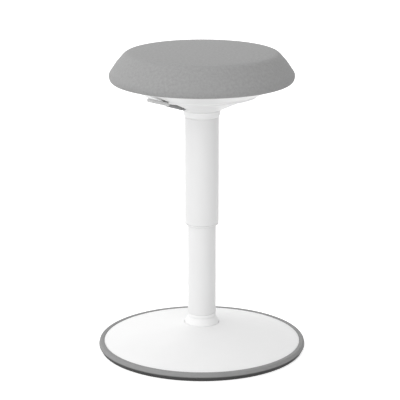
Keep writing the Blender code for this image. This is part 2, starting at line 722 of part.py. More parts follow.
def piston_rod():
    """Rod that stands on the bearing: a grooved tail, a collar and a spigot for the piston."""
    clip_bottom = BEARING_BOTTOM - TOUCH - CLIP_THICKNESS
    groove = ROD_RADIUS - CLIP_GROOVE
    profile = [
        (0.0, PISTON_TOP + ROD_TIP),
        (PISTON_SPIGOT, PISTON_TOP + ROD_TIP),
        (PISTON_SPIGOT, PISTON_BOTTOM - TOUCH),
        (ROD_RADIUS, PISTON_BOTTOM - TOUCH),
        (ROD_RADIUS, ROD_COLLAR_TOP),
        (ROD_COLLAR_RADIUS, ROD_COLLAR_TOP),
        (ROD_COLLAR_RADIUS, ROD_SHOULDER),
        (ROD_RADIUS, ROD_SHOULDER),
        (ROD_RADIUS, BEARING_BOTTOM),
        (groove, BEARING_BOTTOM),
        (groove, clip_bottom - TOUCH),
        (ROD_RADIUS, clip_bottom - TOUCH),
        (ROD_RADIUS, clip_bottom - ROD_TIP),
        (0.0, clip_bottom - ROD_TIP),
    ]
    return turned("piston_rod", profile, FINE_TURN, "bright_steel")


def rod_clip():
    """Open spring clip in the rod's groove, under the bearing plate."""
    bore = ROD_RADIUS - CLIP_GROOVE + TOUCH
    start, end = CLIP_OPENING / 2, math.tau - CLIP_OPENING / 2
    outline = arc((0.0, 0.0), bore + CLIP_WIDTH, start, end) + arc((0.0, 0.0), bore, end, start)
    top = BEARING_BOTTOM - TOUCH
    flat = axes_frame((1.0, 0.0, 0.0), (0.0, 1.0, 0.0))
    return prism("rod_clip", outline, top - CLIP_THICKNESS, top, flat, "dark_steel")


def gas_piston():
    """Piston on the rod's spigot."""
    outer, bore = CYLINDER_BORE - TOUCH, PISTON_SPIGOT + TOUCH
    return tube("gas_piston", outer, bore, PISTON_BOTTOM, PISTON_TOP, FINE_TURN, "natural_nylon")


def guide_bush():
    """Flanged bush in the top of the stand tube that guides the gas cylinder."""
    bore = CYLINDER_RADIUS + RUNNING
    spigot = TUBE_BORE - TOUCH
    seat = TUBE_TOP + TOUCH
    top = seat + GUIDE_FLANGE
    bottom = TUBE_TOP - GUIDE_LENGTH
    profile = [(bore, top), (TUBE_RADIUS, top), (TUBE_RADIUS, seat)]
    profile += [(spigot, seat), (spigot, bottom), (bore, bottom)]
    return turned("guide_bush", profile, MEDIUM_TURN, "natural_nylon")


def gas_cylinder():
    """Cylinder open at the crimped lower end, with a tapered head that wedges in the seat's socket."""
    head_bottom = CYLINDER_TOP - CYLINDER_HEAD
    lip_bore = CYLINDER_BORE - CYLINDER_LIP
    profile = [
        (VALVE_RADIUS + TOUCH, CYLINDER_TOP),
        (CYLINDER_RADIUS - TAPER_DRAFT, CYLINDER_TOP),
        (CYLINDER_RADIUS, SOCKET_BOTTOM),
        (CYLINDER_RADIUS, CYLINDER_BOTTOM),
        (lip_bore, CYLINDER_BOTTOM),
        (lip_bore, CYLINDER_BOTTOM + CYLINDER_LIP),
        (CYLINDER_BORE, CYLINDER_BOTTOM + CYLINDER_LIP),
        (CYLINDER_BORE, head_bottom),
        (VALVE_RADIUS + TOUCH, head_bottom),
    ]
    return turned("gas_cylinder", profile, MEDIUM_TURN, "dark_steel")


def rod_guide():
    """Seal and guide for the rod in the cylinder's lower end."""
    outer, bore = CYLINDER_BORE - TOUCH, ROD_RADIUS + RUNNING
    top = ROD_GUIDE_BOTTOM + ROD_GUIDE
    return tube("rod_guide", outer, bore, ROD_GUIDE_BOTTOM, top, FINE_TURN, "natural_nylon")


def valve_button():
    """Release button in the cylinder's head, kept in by a flange."""
    stop = CYLINDER_TOP - CYLINDER_HEAD - TOUCH
    flange = VALVE_RADIUS + VALVE_FLANGE
    profile = [(0.0, VALVE_TOP), (VALVE_RADIUS, VALVE_TOP), (VALVE_RADIUS, stop), (flange, stop)]
    profile += [(flange, stop - VALVE_FLANGE), (0.0, stop - VALVE_FLANGE)]
    return turned("valve_button", profile, SMALL_TURN, "bright_steel")


def sleeve_glide():
    """Ring in the sleeve's lower end that slides on the stand tube."""
    bore = TUBE_RADIUS + RUNNING
    spigot = bore + GLIDE_WALL
    flange_top = SLEEVE_FOOT + GLIDE_FLANGE
    top = flange_top + GLIDE_LENGTH
    profile = [(bore, top), (spigot, top), (spigot, flange_top), (SLEEVE_RADIUS, flange_top)]
    profile += [(SLEEVE_RADIUS, SLEEVE_FOOT), (bore, SLEEVE_FOOT)]
    return turned("sleeve_glide", profile, MEDIUM_TURN, "white_moulding")


def sleeve_collar():
    """Flared ring that joins the sleeve to the pan round the seat's socket."""
    bore = SOCKET_RADIUS + TOUCH
    spigot = SLEEVE_BORE - TOUCH
    spigot_bore = TUBE_RADIUS + RUNNING
    shoulder = SLEEVE_TOP + TOUCH
    web = COLLAR_TOP - COLLAR_WEB
    corners = [
        (bore, COLLAR_TOP, 0.0),
        (COLLAR_RADIUS, COLLAR_TOP, COLLAR_FLARE / 3),
        (COLLAR_RADIUS - COLLAR_FLARE / 3, SLEEVE_TOP + COLLAR_HEIGHT / 3, COLLAR_HEIGHT / 3),
        (SLEEVE_RADIUS, shoulder, 0.0),
        (spigot, shoulder, 0.0),
        (spigot, SLEEVE_TOP - COLLAR_SPIGOT, 0.0),
        (spigot_bore, SLEEVE_TOP - COLLAR_SPIGOT, 0.0),
        (spigot_bore, web, 0.0),
        (bore, web, 0.0),
    ]
    return turned("sleeve_collar", rounded(corners), MEDIUM_TURN, "white_moulding")


def taper_socket(along):
    """Steel socket that wedges on the gas cylinder's taper, with a window for the lever's tongue."""
    top = SEAT_PLATE_BOTTOM - TOUCH
    throat = CYLINDER_RADIUS - TAPER_DRAFT + TOUCH
    profile = [(SOCKET_RADIUS, top), (SOCKET_RADIUS, SOCKET_BOTTOM), (CYLINDER_RADIUS + TOUCH, SOCKET_BOTTOM)]
    profile += [(throat, CYLINDER_TOP), (throat, top)]
    socket = turned("taper_socket", profile, MEDIUM_TURN, "dark_steel")
    half = LEVER_THICKNESS / 2 + 2 * RUNNING
    sill = CYLINDER_TOP - VALVE_PROUD / 2
    window = [(0.0, sill), (2 * SOCKET_RADIUS, sill), (2 * SOCKET_RADIUS, 2 * top), (0.0, 2 * top)]
    return cut(socket, prism("socket_window", window, -half, half, along))


def seat_plate(bolt_places):
    """Pressed plate under the board that carries the socket and the lever's bracket."""
    half, corner = SEAT_PLATE_SIZE / 2, SEAT_PLATE_CORNER
    square = [(half, half), (-half, half), (-half, -half), (half, -half)]
    outline = []
    for quarter, (x, y) in enumerate(square):
        centre = (x - math.copysign(corner, x), y - math.copysign(corner, y))
        outline += arc(centre, corner, quarter * math.pi / 2, (quarter + 1) * math.pi / 2)
    flat = axes_frame((1.0, 0.0, 0.0), (0.0, 1.0, 0.0))
    plate = prism("seat_plate", outline, SEAT_PLATE_BOTTOM, SEAT_PLATE_TOP, flat, "dark_steel")
    low, high = SEAT_PLATE_BOTTOM - SEAT_PLATE_THICKNESS, SEAT_PLATE_TOP + SEAT_PLATE_THICKNESS
    holes = cylinder("seat_plate_holes", SEAT_BOLT[2] + TOUCH, low, high, SMALL_TURN, places=bolt_places)
    return cut(plate, holes)


def lever_bracket(along):
    """Channel under the seat plate whose cheeks carry the lever's pin."""
    top = SEAT_PLATE_BOTTOM - TOUCH
    web = top - CHEEK_THICKNESS
    near = LEVER_PIVOT - CHEEK_SPAN / 2
    far = LEVER_PIVOT + CHEEK_SPAN / 2
    inner = LEVER_THICKNESS / 2 + RUNNING
    outer = inner + CHEEK_THICKNESS
    outline = [(near, web), (near, top), (far, top), (far, web)]
    bracket = prism("lever_bracket", outline, -outer, outer, along, "dark_steel")
    lean = math.radians(15)
    cheek = arc((LEVER_PIVOT, LEVER_PIVOT_LEVEL), LEVER_EYE, lean, -math.pi - lean)
    cheek += [(near + TOUCH, top - CHEEK_THICKNESS / 2), (far - TOUCH, top - CHEEK_THICKNESS / 2)]
    for way, side in ((-1, "left"), (1, "right")):
        low, high = sorted((way * inner, way * (outer - TOUCH)))
        join(bracket, prism(f"bracket_cheek_{side}", cheek, low, high, along))
    return cut(bracket, pin_tool("bracket_pin_hole", PIN_RADIUS + TOUCH, 2 * outer))


def pin_tool(name, radius, reach, material=None):
    """A cylinder on the lever's pivot axis."""
    pin = cylinder(name, radius, -reach, reach, SMALL_TURN, material)
    pin.location = LEVER_PLACE
    pin.rotation_euler = (math.pi / 2, 0.0, LEVER_BEARING)
    return pin


def lever_pin():
    """Pin through the bracket's cheeks and the lever's eye."""
    reach = LEVER_THICKNESS / 2 + RUNNING + CHEEK_THICKNESS + PIN_PROUD
    return pin_tool("lever_pin", PIN_RADIUS, reach, "bright_steel")


def grip_frame():
    """A frame along the lever's outer arm from its pivot: out, sideways, up."""
    out = LEVER_WAY * math.cos(LEVER_RISE) + Vector((0.0, 0.0, math.sin(LEVER_RISE)))
    sideways = (-LEVER_WAY.y, LEVER_WAY.x, 0.0)
    return axes_frame(out, sideways, LEVER_PLACE)


def grip_span():
    """Where the grip starts and ends along the lever's outer arm."""
    end = (LEVER_REACH - LEVER_PIVOT) / math.cos(LEVER_RISE)
    return end - GRIP_LENGTH, end


def height_lever(along):
    """Steel blade on edge: a tongue over the valve, an eye on the pin and a tang for the grip."""
    start, end = grip_span()
    out = Vector((math.cos(LEVER_RISE), math.sin(LEVER_RISE)))
    up = Vector((-out.y, out.x))
    pivot = Vector((LEVER_PIVOT, LEVER_PIVOT_LEVEL))
    shoulder, tip = pivot + out * (start - TOUCH), pivot + out * (end - TANG_END)
    blade, tang = up * LEVER_DEPTH / 2, up * TANG_DEPTH / 2
    eye = Vector((0.0, LEVER_EYE))
    tongue = VALVE_TOP + TOUCH
    outline = [(-TONGUE_OVERHANG, tongue), (TONGUE_FLAT, tongue), pivot - eye, shoulder - blade]
    outline += [shoulder - tang, tip - tang, tip + tang, shoulder + tang, shoulder + blade]
    outline += [pivot + eye, (TONGUE_FLAT, tongue + LEVER_DEPTH), (-TONGUE_OVERHANG, tongue + LEVER_DEPTH)]
    half = LEVER_THICKNESS / 2
    lever = prism("height_lever", outline, -half, half, along, "dark_steel")
    return cut(lever, pin_tool("lever_eye_hole", PIN_RADIUS + TOUCH, LEVER_THICKNESS))


def lever_grip():
    """Moulded grip pushed over the lever's tang."""
    start, end = grip_span()
    half, depth = GRIP_WIDTH / 2, GRIP_DEPTH / 2
    corners = [(start, -half, 0.0), (end, -half, GRIP_CORNER), (end, half, GRIP_CORNER), (start, half, 0.0)]
    grip = prism("lever_grip", rounded(corners), -depth, depth, grip_frame(), "grey_plastic")
    bevel = grip.modifiers.new("edge", "BEVEL")
    bevel.width = GRIP_EDGE
    bevel.segments = 2
    side, deep = LEVER_THICKNESS / 2 + TOUCH, TANG_DEPTH / 2 + TOUCH
    inner = end - TANG_END + TOUCH
    mouth = start - GRIP_EDGE
    pocket = [(mouth, -side), (inner, -side), (inner, side), (mouth, side)]
    return cut(grip, prism("grip_pocket", pocket, -deep, deep, grip_frame()))


def seat_pan(screw_places, along):
    """Conical shell under the seat with a raised ring, screw posts and the lever's slot and recess."""
    bead_sides = (PAN_BEAD_RADIUS - PAN_BEAD_WIDTH / 2, PAN_BEAD_RADIUS + PAN_BEAD_WIDTH / 2)
    spans = ((COLLAR_RADIUS, bead_sides[0]), (bead_sides[1], PAN_RADIUS))
    outer = [(SOCKET_RADIUS + TOUCH, PAN_BOTTOM)]
    for low, high in spans:
        outer += [(r, pan_height(r)) for r in (low, (low + high) / 2, high)]
        if high < PAN_RADIUS:
            outer.append((PAN_BEAD_RADIUS, pan_height(PAN_BEAD_RADIUS) - PAN_BEAD))
    inner = bowed((PAN_RADIUS, PAN_RIM), (COLLAR_RADIUS, PAN_BOTTOM + PAN_WALL), PAN_BOW, 4)
    profile = [*outer, *inner, (SOCKET_RADIUS + TOUCH, PAN_BOTTOM + PAN_WALL)]
    pan = turned("seat_pan", profile, LARGE_TURN, "white_moulding")
    half = GRIP_WIDTH / 2 + SLOT_CLEARANCE
    low, high = PAN_BOTTOM - PAN_DEPTH, PAN_RIM + PAN_DEPTH
    near, far = LEVER_PIVOT - SLOT_LEAD, PAN_RADIUS - SLOT_RIM
    mouth = LEVER_PIVOT + grip_span()[0] * math.cos(LEVER_RISE) + SLOT_GAP
    roof, end = pan_height(mouth) + RECESS_DEPTH, pan_height(far)
    back, side = mouth - PAN_WALL, half + PAN_WALL
    block = [(back, pan_height(back) + PAN_WALL / 2), (back, roof + PAN_WALL), (far, end + PAN_WALL / 2)]
    join(pan, prism("lever_recess", block, -side, side, along))
    outline = [(near, low), (near, high), (mouth, high), (mouth, roof), (far, end), (far, low)]
    cut(pan, prism("lever_slot", outline, -half, half, along))
    post_top = BOARD_BOTTOM - TOUCH
    posts = shell_posts("pan_posts", screw_places, post_top, lambda r: pan_height(r) + PAN_WALL / 2)
    hole = PAN_SCREW[2] + TOUCH
    hole_bottom = post_top - PAN_SCREW_GRIP - TOUCH
    holes = cylinder("pan_post_holes", hole, hole_bottom, post_top + TOUCH, SMALL_TURN, places=screw_places)
    return cut(join(pan, posts), holes)


def seat_board(bolt_places, screw_places):
    """Plywood disc with recessed holes for the tee nuts and the pan screws."""
    board = cylinder("seat_board", BOARD_RADIUS, BOARD_BOTTOM, BOARD_TOP, CUSHION_TURN, "plywood")
    low, high = BOARD_BOTTOM - BOARD_THICKNESS, BOARD_TOP + BOARD_THICKNESS
    barrel = SEAT_BOLT[2] + TOUCH + TEE_NUT_WALL + TOUCH
    nut_seat = BOARD_TOP - TEE_NUT_FLANGE - 2 * TOUCH
    head_seat = BOARD_TOP - PAN_SCREW[1] - 2 * TOUCH
    holes = (
        ("board_nut_holes", barrel, TEE_NUT_FLANGE_RADIUS + TOUCH, nut_seat, bolt_places),
        ("board_screw_holes", PAN_SCREW[2] + TOUCH, PAN_SCREW[0] + TOUCH, head_seat, screw_places),
    )
    for name, bore, recess, seat, places in holes:
        profile = [(0.0, low), (bore, low), (bore, seat), (recess, seat), (recess, high), (0.0, high)]
        cut(board, turned(name, profile, SMALL_TURN, places=places))
    return board


def tee_nuts(places):
    """Flanged nuts let into the board's top for the seat bolts."""
    bore = SEAT_BOLT[2] + TOUCH
    barrel = bore + TEE_NUT_WALL
    flange_bottom = BOARD_TOP - TEE_NUT_FLANGE - TOUCH
    top, bottom = flange_bottom + TEE_NUT_FLANGE, flange_bottom - TEE_NUT_LENGTH
    profile = [(bore, top), (TEE_NUT_FLANGE_RADIUS, top), (TEE_NUT_FLANGE_RADIUS, flange_bottom)]
    profile += [(barrel, flange_bottom), (barrel, bottom), (bore, bottom)]
    return copies(turned("tee_nut_1", profile, SMALL_TURN, "bright_steel"), places)


def cushion_outline():
    """The cover's outer face from the middle of the top, over the shoulder and down to the hem."""
    widest = Vector((SEAT_RADIUS, HEM_BOTTOM + EDGE_HEIGHT))
    shoulder = Vector((SEAT_RADIUS - SHOULDER_INSET, SEAT_TOP))
    side = widest - shoulder
    out = Vector((-side.y, side.x)).normalized()
    swell = (widest + shoulder) / 2 + out * SIDE_BOW
    crest = shoulder.x - 2 * SHOULDER_ROUND
    top = [(crest * i / 3, SEAT_TOP + SEAT_CROWN * (1 - (i / 3) ** 2)) for i in range(4)]
    corners = [
        (*top[-1], 0.0),
        (*shoulder, SHOULDER_ROUND),
        (*swell, SEAT_HEIGHT),
        (*widest, EDGE_ROUND),
        (SEAT_RADIUS - TUCK_INSET, HEM_BOTTOM, TUCK_ROUND),
        (HEM_RADIUS, HEM_BOTTOM, 0.0),
    ]
    return top[:-1] + rounded(corners)


def seat_cover():
    """Fabric over the foam, turned in under the board."""
    outer = cushion_outline()
    inner = inset(outer, FABRIC)
    inner[0] = (0.0, inner[0][1])
    inner[-1] = (HEM_RADIUS, HEM_BOTTOM + FABRIC)
    return turned("seat_cover", outer + inner[::-1], CUSHION_TURN, "grey_fabric")


def seat_foam():
    """Foam block on the board, with a lip round the board's edge."""
    outer = inset(cushion_outline(), FABRIC + TOUCH)
    outer[0] = (0.0, outer[0][1])
    lip, floor = BOARD_RADIUS + TOUCH, BOARD_TOP + TOUCH
    hem = HEM_BOTTOM + FABRIC + TOUCH
    skin = [(r, z) for r, z in outer if z > floor or r > lip]
    profile = [*skin, (lip, hem), (lip, floor), (0.0, floor)]
    return turned("seat_foam", profile, CUSHION_TURN, "foam")


def main():
    for obj in list(bpy.data.objects):
        bpy.data.objects.remove(obj, do_unlink=True)
    along = upright(LEVER_BEARING)
    pivot = (0.0, 0.0, PIVOT)
    base = joint_axis("base_origin", (0.0, 0.0, 0.0))
    lean_side = joint_axis("lean_side_axis", pivot, base)
    lean_fore = joint_axis("lean_fore_axis", pivot, lean_side)
    bearing = joint_axis("bearing_axis", (0.0, 0.0, CAGE_LEVEL), lean_fore)
    swivel = joint_axis("swivel_axis", (0.0, 0.0, ROD_SHOULDER), lean_fore)
    height = joint_axis("height_axis", (0.0, 0.0, CYLINDER_BOTTOM), swivel)
    lever = joint_axis("lever_axis", LEVER_PLACE, height)
    valve = joint_axis("valve_axis", (0.0, 0.0, CYLINDER_TOP), height)

    yoke_places = ring_places(YOKE_BOLT_COUNT, YOKE_BOLT_CIRCLE, math.pi / 4)
    cover_places = ring_places(COVER_SCREW_COUNT, COVER_POST_CIRCLE, math.pi / 4)
    pan_places = ring_places(PAN_SCREW_COUNT, PAN_POST_CIRCLE)
    seat_places = ring_places(4, SEAT_BOLT_OFFSET * math.sqrt(2), math.pi / 4)
    under_plate = PLATE_BOTTOM - TOUCH
    bolt_length = PLATE_THICKNESS + YOKE_FLANGE
    screw_length = PLATE_THICKNESS + TOUCH + COVER_SCREW_GRIP
    under_seat = SEAT_PLATE_BOTTOM - TOUCH
    seat_bolt_length = SEAT_PLATE_THICKNESS + BOARD_THICKNESS - TEE_NUT_FLANGE - TOUCH
    pan_screw_seat = BOARD_TOP - PAN_SCREW[1] - TOUCH
    pan_screw_length = BOARD_THICKNESS - PAN_SCREW[1] - TOUCH + PAN_SCREW_GRIP

    ride(base, rubber_rim(), base_plate(yoke_places, cover_places), ballast_ring(), base_cover(cover_places))
    ride(base, ball_dome(), base_yoke(yoke_places))
    ride(base, torsion_bush("yoke_bush_front", -math.pi / 2), torsion_bush("yoke_bush_rear", math.pi / 2))
    ride(base, *fastener_set("yoke_bolt", yoke_places, YOKE_BOLT, under_plate, bolt_length))
    ride(base, *fastener_set("cover_screw", cover_places, COVER_SCREW, under_plate, screw_length))

    ride(lean_side, pivot_cross())

    ride(lean_fore, column_fork())
    ride(lean_fore, torsion_bush("fork_bush_left", math.pi), torsion_bush("fork_bush_right", 0.0))
    ride(lean_fore, foot_glide(), bearing_plate(), bearing_race("lower_race", LOWER_RACE), guide_bush())
    ride(lean_fore, painted_tube("stand_tube", TUBE_RADIUS, TUBE_BORE, TUBE_BOTTOM, TUBE_TOP))

    ride(bearing, ball_cage())
    ride(swivel, bearing_race("upper_race", UPPER_RACE), piston_rod(), rod_clip(), gas_piston())

    ride(height, painted_tube("cover_sleeve", SLEEVE_RADIUS, SLEEVE_BORE, SLEEVE_BOTTOM, SLEEVE_TOP))
    ride(height, sleeve_glide(), sleeve_collar(), gas_cylinder(), rod_guide())
    ride(height, taper_socket(along), seat_plate(seat_places), lever_bracket(along), lever_pin())
    ride(height, seat_pan(pan_places, along), seat_board(seat_places, pan_places), *tee_nuts(seat_places))
    ride(height, *fastener_set("seat_bolt", seat_places, SEAT_BOLT, under_seat, seat_bolt_length))
    ride(height, *fastener_set("pan_screw", pan_places, PAN_SCREW, pan_screw_seat, pan_screw_length, True))
    ride(height, seat_foam(), seat_cover())

    ride(lever, height_lever(along), lever_grip())
    ride(valve, valve_button())


main()
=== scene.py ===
"""Looks of the leaning active stool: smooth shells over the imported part, finishes, studio light and camera.

Every shape is a numpy surface in metres, in the part's own frame: +Z up the column, floor at z = 0.
"""

import json
import logging
import math
from collections.abc import Callable, Sequence
from dataclasses import dataclass
from enum import Enum, auto

import bmesh
import bpy
import numpy as np
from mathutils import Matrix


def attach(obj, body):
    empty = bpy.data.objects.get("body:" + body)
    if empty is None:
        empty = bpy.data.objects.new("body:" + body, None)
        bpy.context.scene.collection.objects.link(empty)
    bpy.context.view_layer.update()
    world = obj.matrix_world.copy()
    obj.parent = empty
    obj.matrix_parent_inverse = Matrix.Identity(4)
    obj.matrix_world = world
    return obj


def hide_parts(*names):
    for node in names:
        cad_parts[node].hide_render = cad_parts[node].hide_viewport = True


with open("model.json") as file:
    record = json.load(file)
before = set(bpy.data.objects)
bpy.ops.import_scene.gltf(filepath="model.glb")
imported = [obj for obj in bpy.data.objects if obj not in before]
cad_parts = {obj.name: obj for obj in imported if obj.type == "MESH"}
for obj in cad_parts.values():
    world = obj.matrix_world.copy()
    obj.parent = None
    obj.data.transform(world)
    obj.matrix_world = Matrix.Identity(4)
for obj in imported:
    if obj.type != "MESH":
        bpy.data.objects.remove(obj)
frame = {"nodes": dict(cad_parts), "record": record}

LOG = logging.getLogger("stool")
HAIR = 1e-6
Corner = tuple[float, float, float]
Socket = bpy.types.NodeSocket


# Surfaces


@dataclass
class Surface:
    """A mesh as whole arrays.

    Attributes:
        points: one row of x, y, z per point.
        quads: one row of four point numbers per face.
        uv: one row of u, v in metres per point, where a pattern follows the surface.
    """

    points: np.ndarray
    quads: np.ndarray
    uv: np.ndarray | None = None

    def mesh_object(self, name: str, sharp_deg: float = 40.0, closed: bool = True) -> bpy.types.Object:
        """Makes a smooth-shaded object at the origin.

        Args:
            name: the piece's name.
            sharp_deg: edges that turn by more than this stay sharp.
            closed: whether equal points are merged and the faces turned outwards.

        Returns:
            The new object, linked to the scene.
        """
        mesh = bpy.data.meshes.new(name)
        mesh.from_pydata(self.points.tolist(), [], self.quads.tolist())
        if self.uv is not None:
            layer = mesh.uv_layers.new(name="cloth")
            corners = np.empty(len(mesh.loops), np.int32)
            mesh.loops.foreach_get("vertex_index", corners)
            layer.data.foreach_set("uv", self.uv[corners].astype(np.float32).ravel())
        if closed:
            bm = bmesh.new()
            bm.from_mesh(mesh)
            bmesh.ops.remove_doubles(bm, verts=bm.verts, dist=1e-7)
            bmesh.ops.recalc_face_normals(bm, faces=bm.faces)
            bm.to_mesh(mesh)
            bm.free()
        mesh.shade_smooth()
        mesh.set_sharp_from_angle(angle=math.radians(sharp_deg))
        obj = bpy.data.objects.new(name, mesh)
        bpy.context.scene.collection.objects.link(obj)
        return obj


def grid_quads(rows: int, columns: int, wrap_rows: bool, wrap_columns: bool) -> np.ndarray:
    """Faces of a grid of points numbered row by row.

    Args:
        rows: number of rows.
        columns: number of points in a row.
        wrap_rows: whether the last row joins the first.
        wrap_columns: whether a row's last point joins its first.

    Returns:
        One row of four point numbers per face.
    """
    i = np.arange(rows if wrap_rows else rows - 1)[:, None]
    j = np.arange(columns if wrap_columns else columns - 1)[None, :]
    i_next, j_next = (i + 1) % rows, (j + 1) % columns
    corners = (i * columns + j, i * columns + j_next, i_next * columns + j_next, i_next * columns + j)
    return np.stack([c + np.zeros_like(i + j) for c in corners], axis=-1).reshape(-1, 4)


def revolve(profile: np.ndarray, columns: int, ring: bool = True) -> Surface:
    """Turns a profile about Z: a point (r, z) goes to (r cos a, r sin a, z) for equal steps of the angle a.

    Args:
        profile: one row of radius and height per point.
        columns: steps in a full turn.
        ring: whether the profile's end joins its start; a profile that ends on the axis needs no join.

    Returns:
        The turned surface.
    """
    angle = np.arange(columns) * math.tau / columns
    radius, height = profile[:, :1], profile[:, 1:]
    parts = (radius * np.cos(angle), radius * np.sin(angle), height + 0 * angle)
    points = np.stack(parts, axis=-1).reshape(-1, 3)
    return Surface(points, grid_quads(len(profile), columns, ring, True))


def rounded(corners: Sequence[Corner], steps: int = 7, ring: bool = True) -> np.ndarray:
    """An outline with arcs for corners: each touches both sides at radius / tan(half the corner's angle).

    Args:
        corners: x, y and radius of each corner in order.
        steps: steps along each arc.
        ring: whether the last corner joins the first; else both ends stay as they are.

    Returns:
        One row of x and y per point.
    """
    places = np.array(corners, float)
    share = np.linspace(0.0, 1.0, steps + 1)[:, None]
    pieces = []
    for i, (x, y, radius) in enumerate(places):
        here = np.array((x, y))
        if radius == 0 or (not ring and i in (0, len(places) - 1)):
            pieces.append(here[None, :])
            continue
        back = places[i - 1, :2] - here
        ahead = places[(i + 1) % len(places), :2] - here
        back, ahead = back / np.linalg.norm(back), ahead / np.linalg.norm(ahead)
        half = math.acos(np.clip(back @ ahead, -1.0, 1.0)) / 2
        middle = (back + ahead) / np.linalg.norm(back + ahead)
        centre = here + middle * radius / math.sin(half)
        first = back * radius / math.tan(half) + here - centre
        last = ahead * radius / math.tan(half) + here - centre
        sweep = math.pi - 2 * half
        weight_first, weight_last = np.sin((1 - share) * sweep), np.sin(share * sweep)
        pieces.append(centre + (weight_first * first + weight_last * last) / math.sin(sweep))
    return np.concatenate(pieces)


def walled(outer: np.ndarray, inner: np.ndarray, quads: np.ndarray) -> Surface:
    """A shell from two faces of one net: the inner face runs the other way, and a wall joins every open edge.

    Args:
        outer: one row of x, y, z per point of the outer face.
        inner: the inner face's points in the same order.
        quads: the outer face's quads.

    Returns:
        The closed shell.
    """
    edges = np.stack([quads, np.roll(quads, -1, axis=1)], axis=-1).reshape(-1, 2)
    _, first, uses = np.unique(np.sort(edges, axis=1), axis=0, return_index=True, return_counts=True)
    rim = edges[first[uses == 1]]
    walls = np.concatenate([rim[:, ::-1], rim + len(outer)], axis=1)
    quads = np.concatenate([quads, quads[:, ::-1] + len(outer), walls])
    used, places = np.unique(quads, return_inverse=True)
    return Surface(np.concatenate([outer, inner])[used], places.reshape(-1, 4))


def arc(radius: float, start: float, end: float, steps: int) -> np.ndarray:
    """Points (radius cos a, radius sin a) from one angle to another."""
    angle = np.linspace(start, end, steps + 1)
    return np.stack([np.cos(angle), np.sin(angle)], axis=1) * radius


def bowed(start: Sequence[float], end: Sequence[float], bow: float, steps: int) -> np.ndarray:
    """A parabola between two points: the straight line raised by 4 bow t (1 - t)."""
    t = np.linspace(0.0, 1.0, steps + 1)[:, None]
    line = np.array(start) * (1 - t) + np.array(end) * t
    return line + np.hstack([0 * t, 4 * bow * t * (1 - t)])


# Finishes


class Grain(Enum):
    """The fine surface of a finish."""

    MOULDED = auto()
    POWDER = auto()
    RUBBER = auto()
    WEAVE = auto()
    BRUSHED = auto()
    CAST = auto()
    TIMBER = auto()
    FOAM = auto()


class NodeBench:
    """Adds and wires shader nodes in one material or world."""

    def __init__(self, owner: bpy.types.Material | bpy.types.World, shader: str = "Principled BSDF") -> None:
        """Starts on an owner's nodes, with its main shader by name."""
        owner.use_nodes = True
        self.owner = owner
        self.nodes, self.links = owner.node_tree.nodes, owner.node_tree.links
        self.shader = self.nodes[shader]

    def add(self, kind: str, **settings: object) -> bpy.types.Node:
        """Adds a node and sets its own properties."""
        node = self.nodes.new(kind)
        for key, value in settings.items():
            setattr(node, key, value)
        return node

    def feed(self, node: bpy.types.Node, **inputs: object) -> bpy.types.Node:
        """Sets or links inputs by name, with _ for a space.

        Args:
            node: the node that takes the inputs.
            **inputs: a number or colour to set, or an output socket to link.

        Returns:
            The same node.
        """
        for key, value in inputs.items():
            socket = node.inputs[key.replace("_", " ")]
            if isinstance(value, bpy.types.NodeSocket):
                self.links.new(value, socket)
            else:
                socket.default_value = value
        return node

    def place(self, stretch: tuple[float, float, float] = (1.0, 1.0, 1.0), cloth: bool = False) -> Socket:
        """Object coordinates, or the piece's own cloth map, stretched along each axis."""
        source = self.add("ShaderNodeTexCoord").outputs["UV" if cloth else "Object"]
        if stretch == (1.0, 1.0, 1.0):
            return source
        mapping = self.add("ShaderNodeMapping")
        self.feed(mapping, Vector=source, Scale=stretch)
        return mapping.outputs["Vector"]

    def noise(self, at: Socket, scale: float, detail: float = 2.0) -> Socket:
        """A soft noise, from 0 to 1."""
        node = self.feed(self.add("ShaderNodeTexNoise"), Vector=at, Scale=scale, Detail=detail)
        return node.outputs["Fac"]

    def wave(self, at: Socket, scale: float, direction: str, distortion: float = 0.0) -> Socket:
        """Soft bands along one axis; a scale of s has a period of tau / (20 s)."""
        node = self.add("ShaderNodeTexWave", wave_type="BANDS", bands_direction=direction)
        return self.feed(node, Vector=at, Scale=scale, Distortion=distortion).outputs["Fac"]

    def math(self, operation: str, first: object, second: object) -> Socket:
        """One arithmetic step."""
        node = self.add("ShaderNodeMath", operation=operation)
        for socket, value in zip(node.inputs, (first, second)):
            if isinstance(value, bpy.types.NodeSocket):
                self.links.new(value, socket)
            else:
                socket.default_value = value
        return node.outputs[0]

    def spread(
        self, value: Socket, low: float, high: float, start: float = 0.3, end: float = 0.7, **settings: object
    ) -> Socket:
        """Maps start to end onto low to high; a noise's middling values are the default."""
        node = self.add("ShaderNodeMapRange", **settings)
        self.feed(node, Value=value, From_Min=start, From_Max=end, To_Min=low, To_Max=high)
        return node.outputs["Result"]

    def tint(self, share: Socket, first: Sequence[float], second: Sequence[float]) -> None:
        """Feeds the base colour with a mix of two colours."""
        node = self.add("ShaderNodeMix", data_type="RGBA")
        self.links.new(share, node.inputs[0])
        node.inputs[6].default_value = (*first, 1.0)
        node.inputs[7].default_value = (*second, 1.0)
        self.links.new(node.outputs[2], self.shader.inputs["Base Color"])

    def relief(self, height: Socket, depth: float, strength: float = 1.0) -> None:
        """Feeds the normal with a bump of a real depth."""
        node = self.feed(self.add("ShaderNodeBump"), Height=height, Distance=depth, Strength=strength)
        self.links.new(node.outputs["Normal"], self.shader.inputs["Normal"])


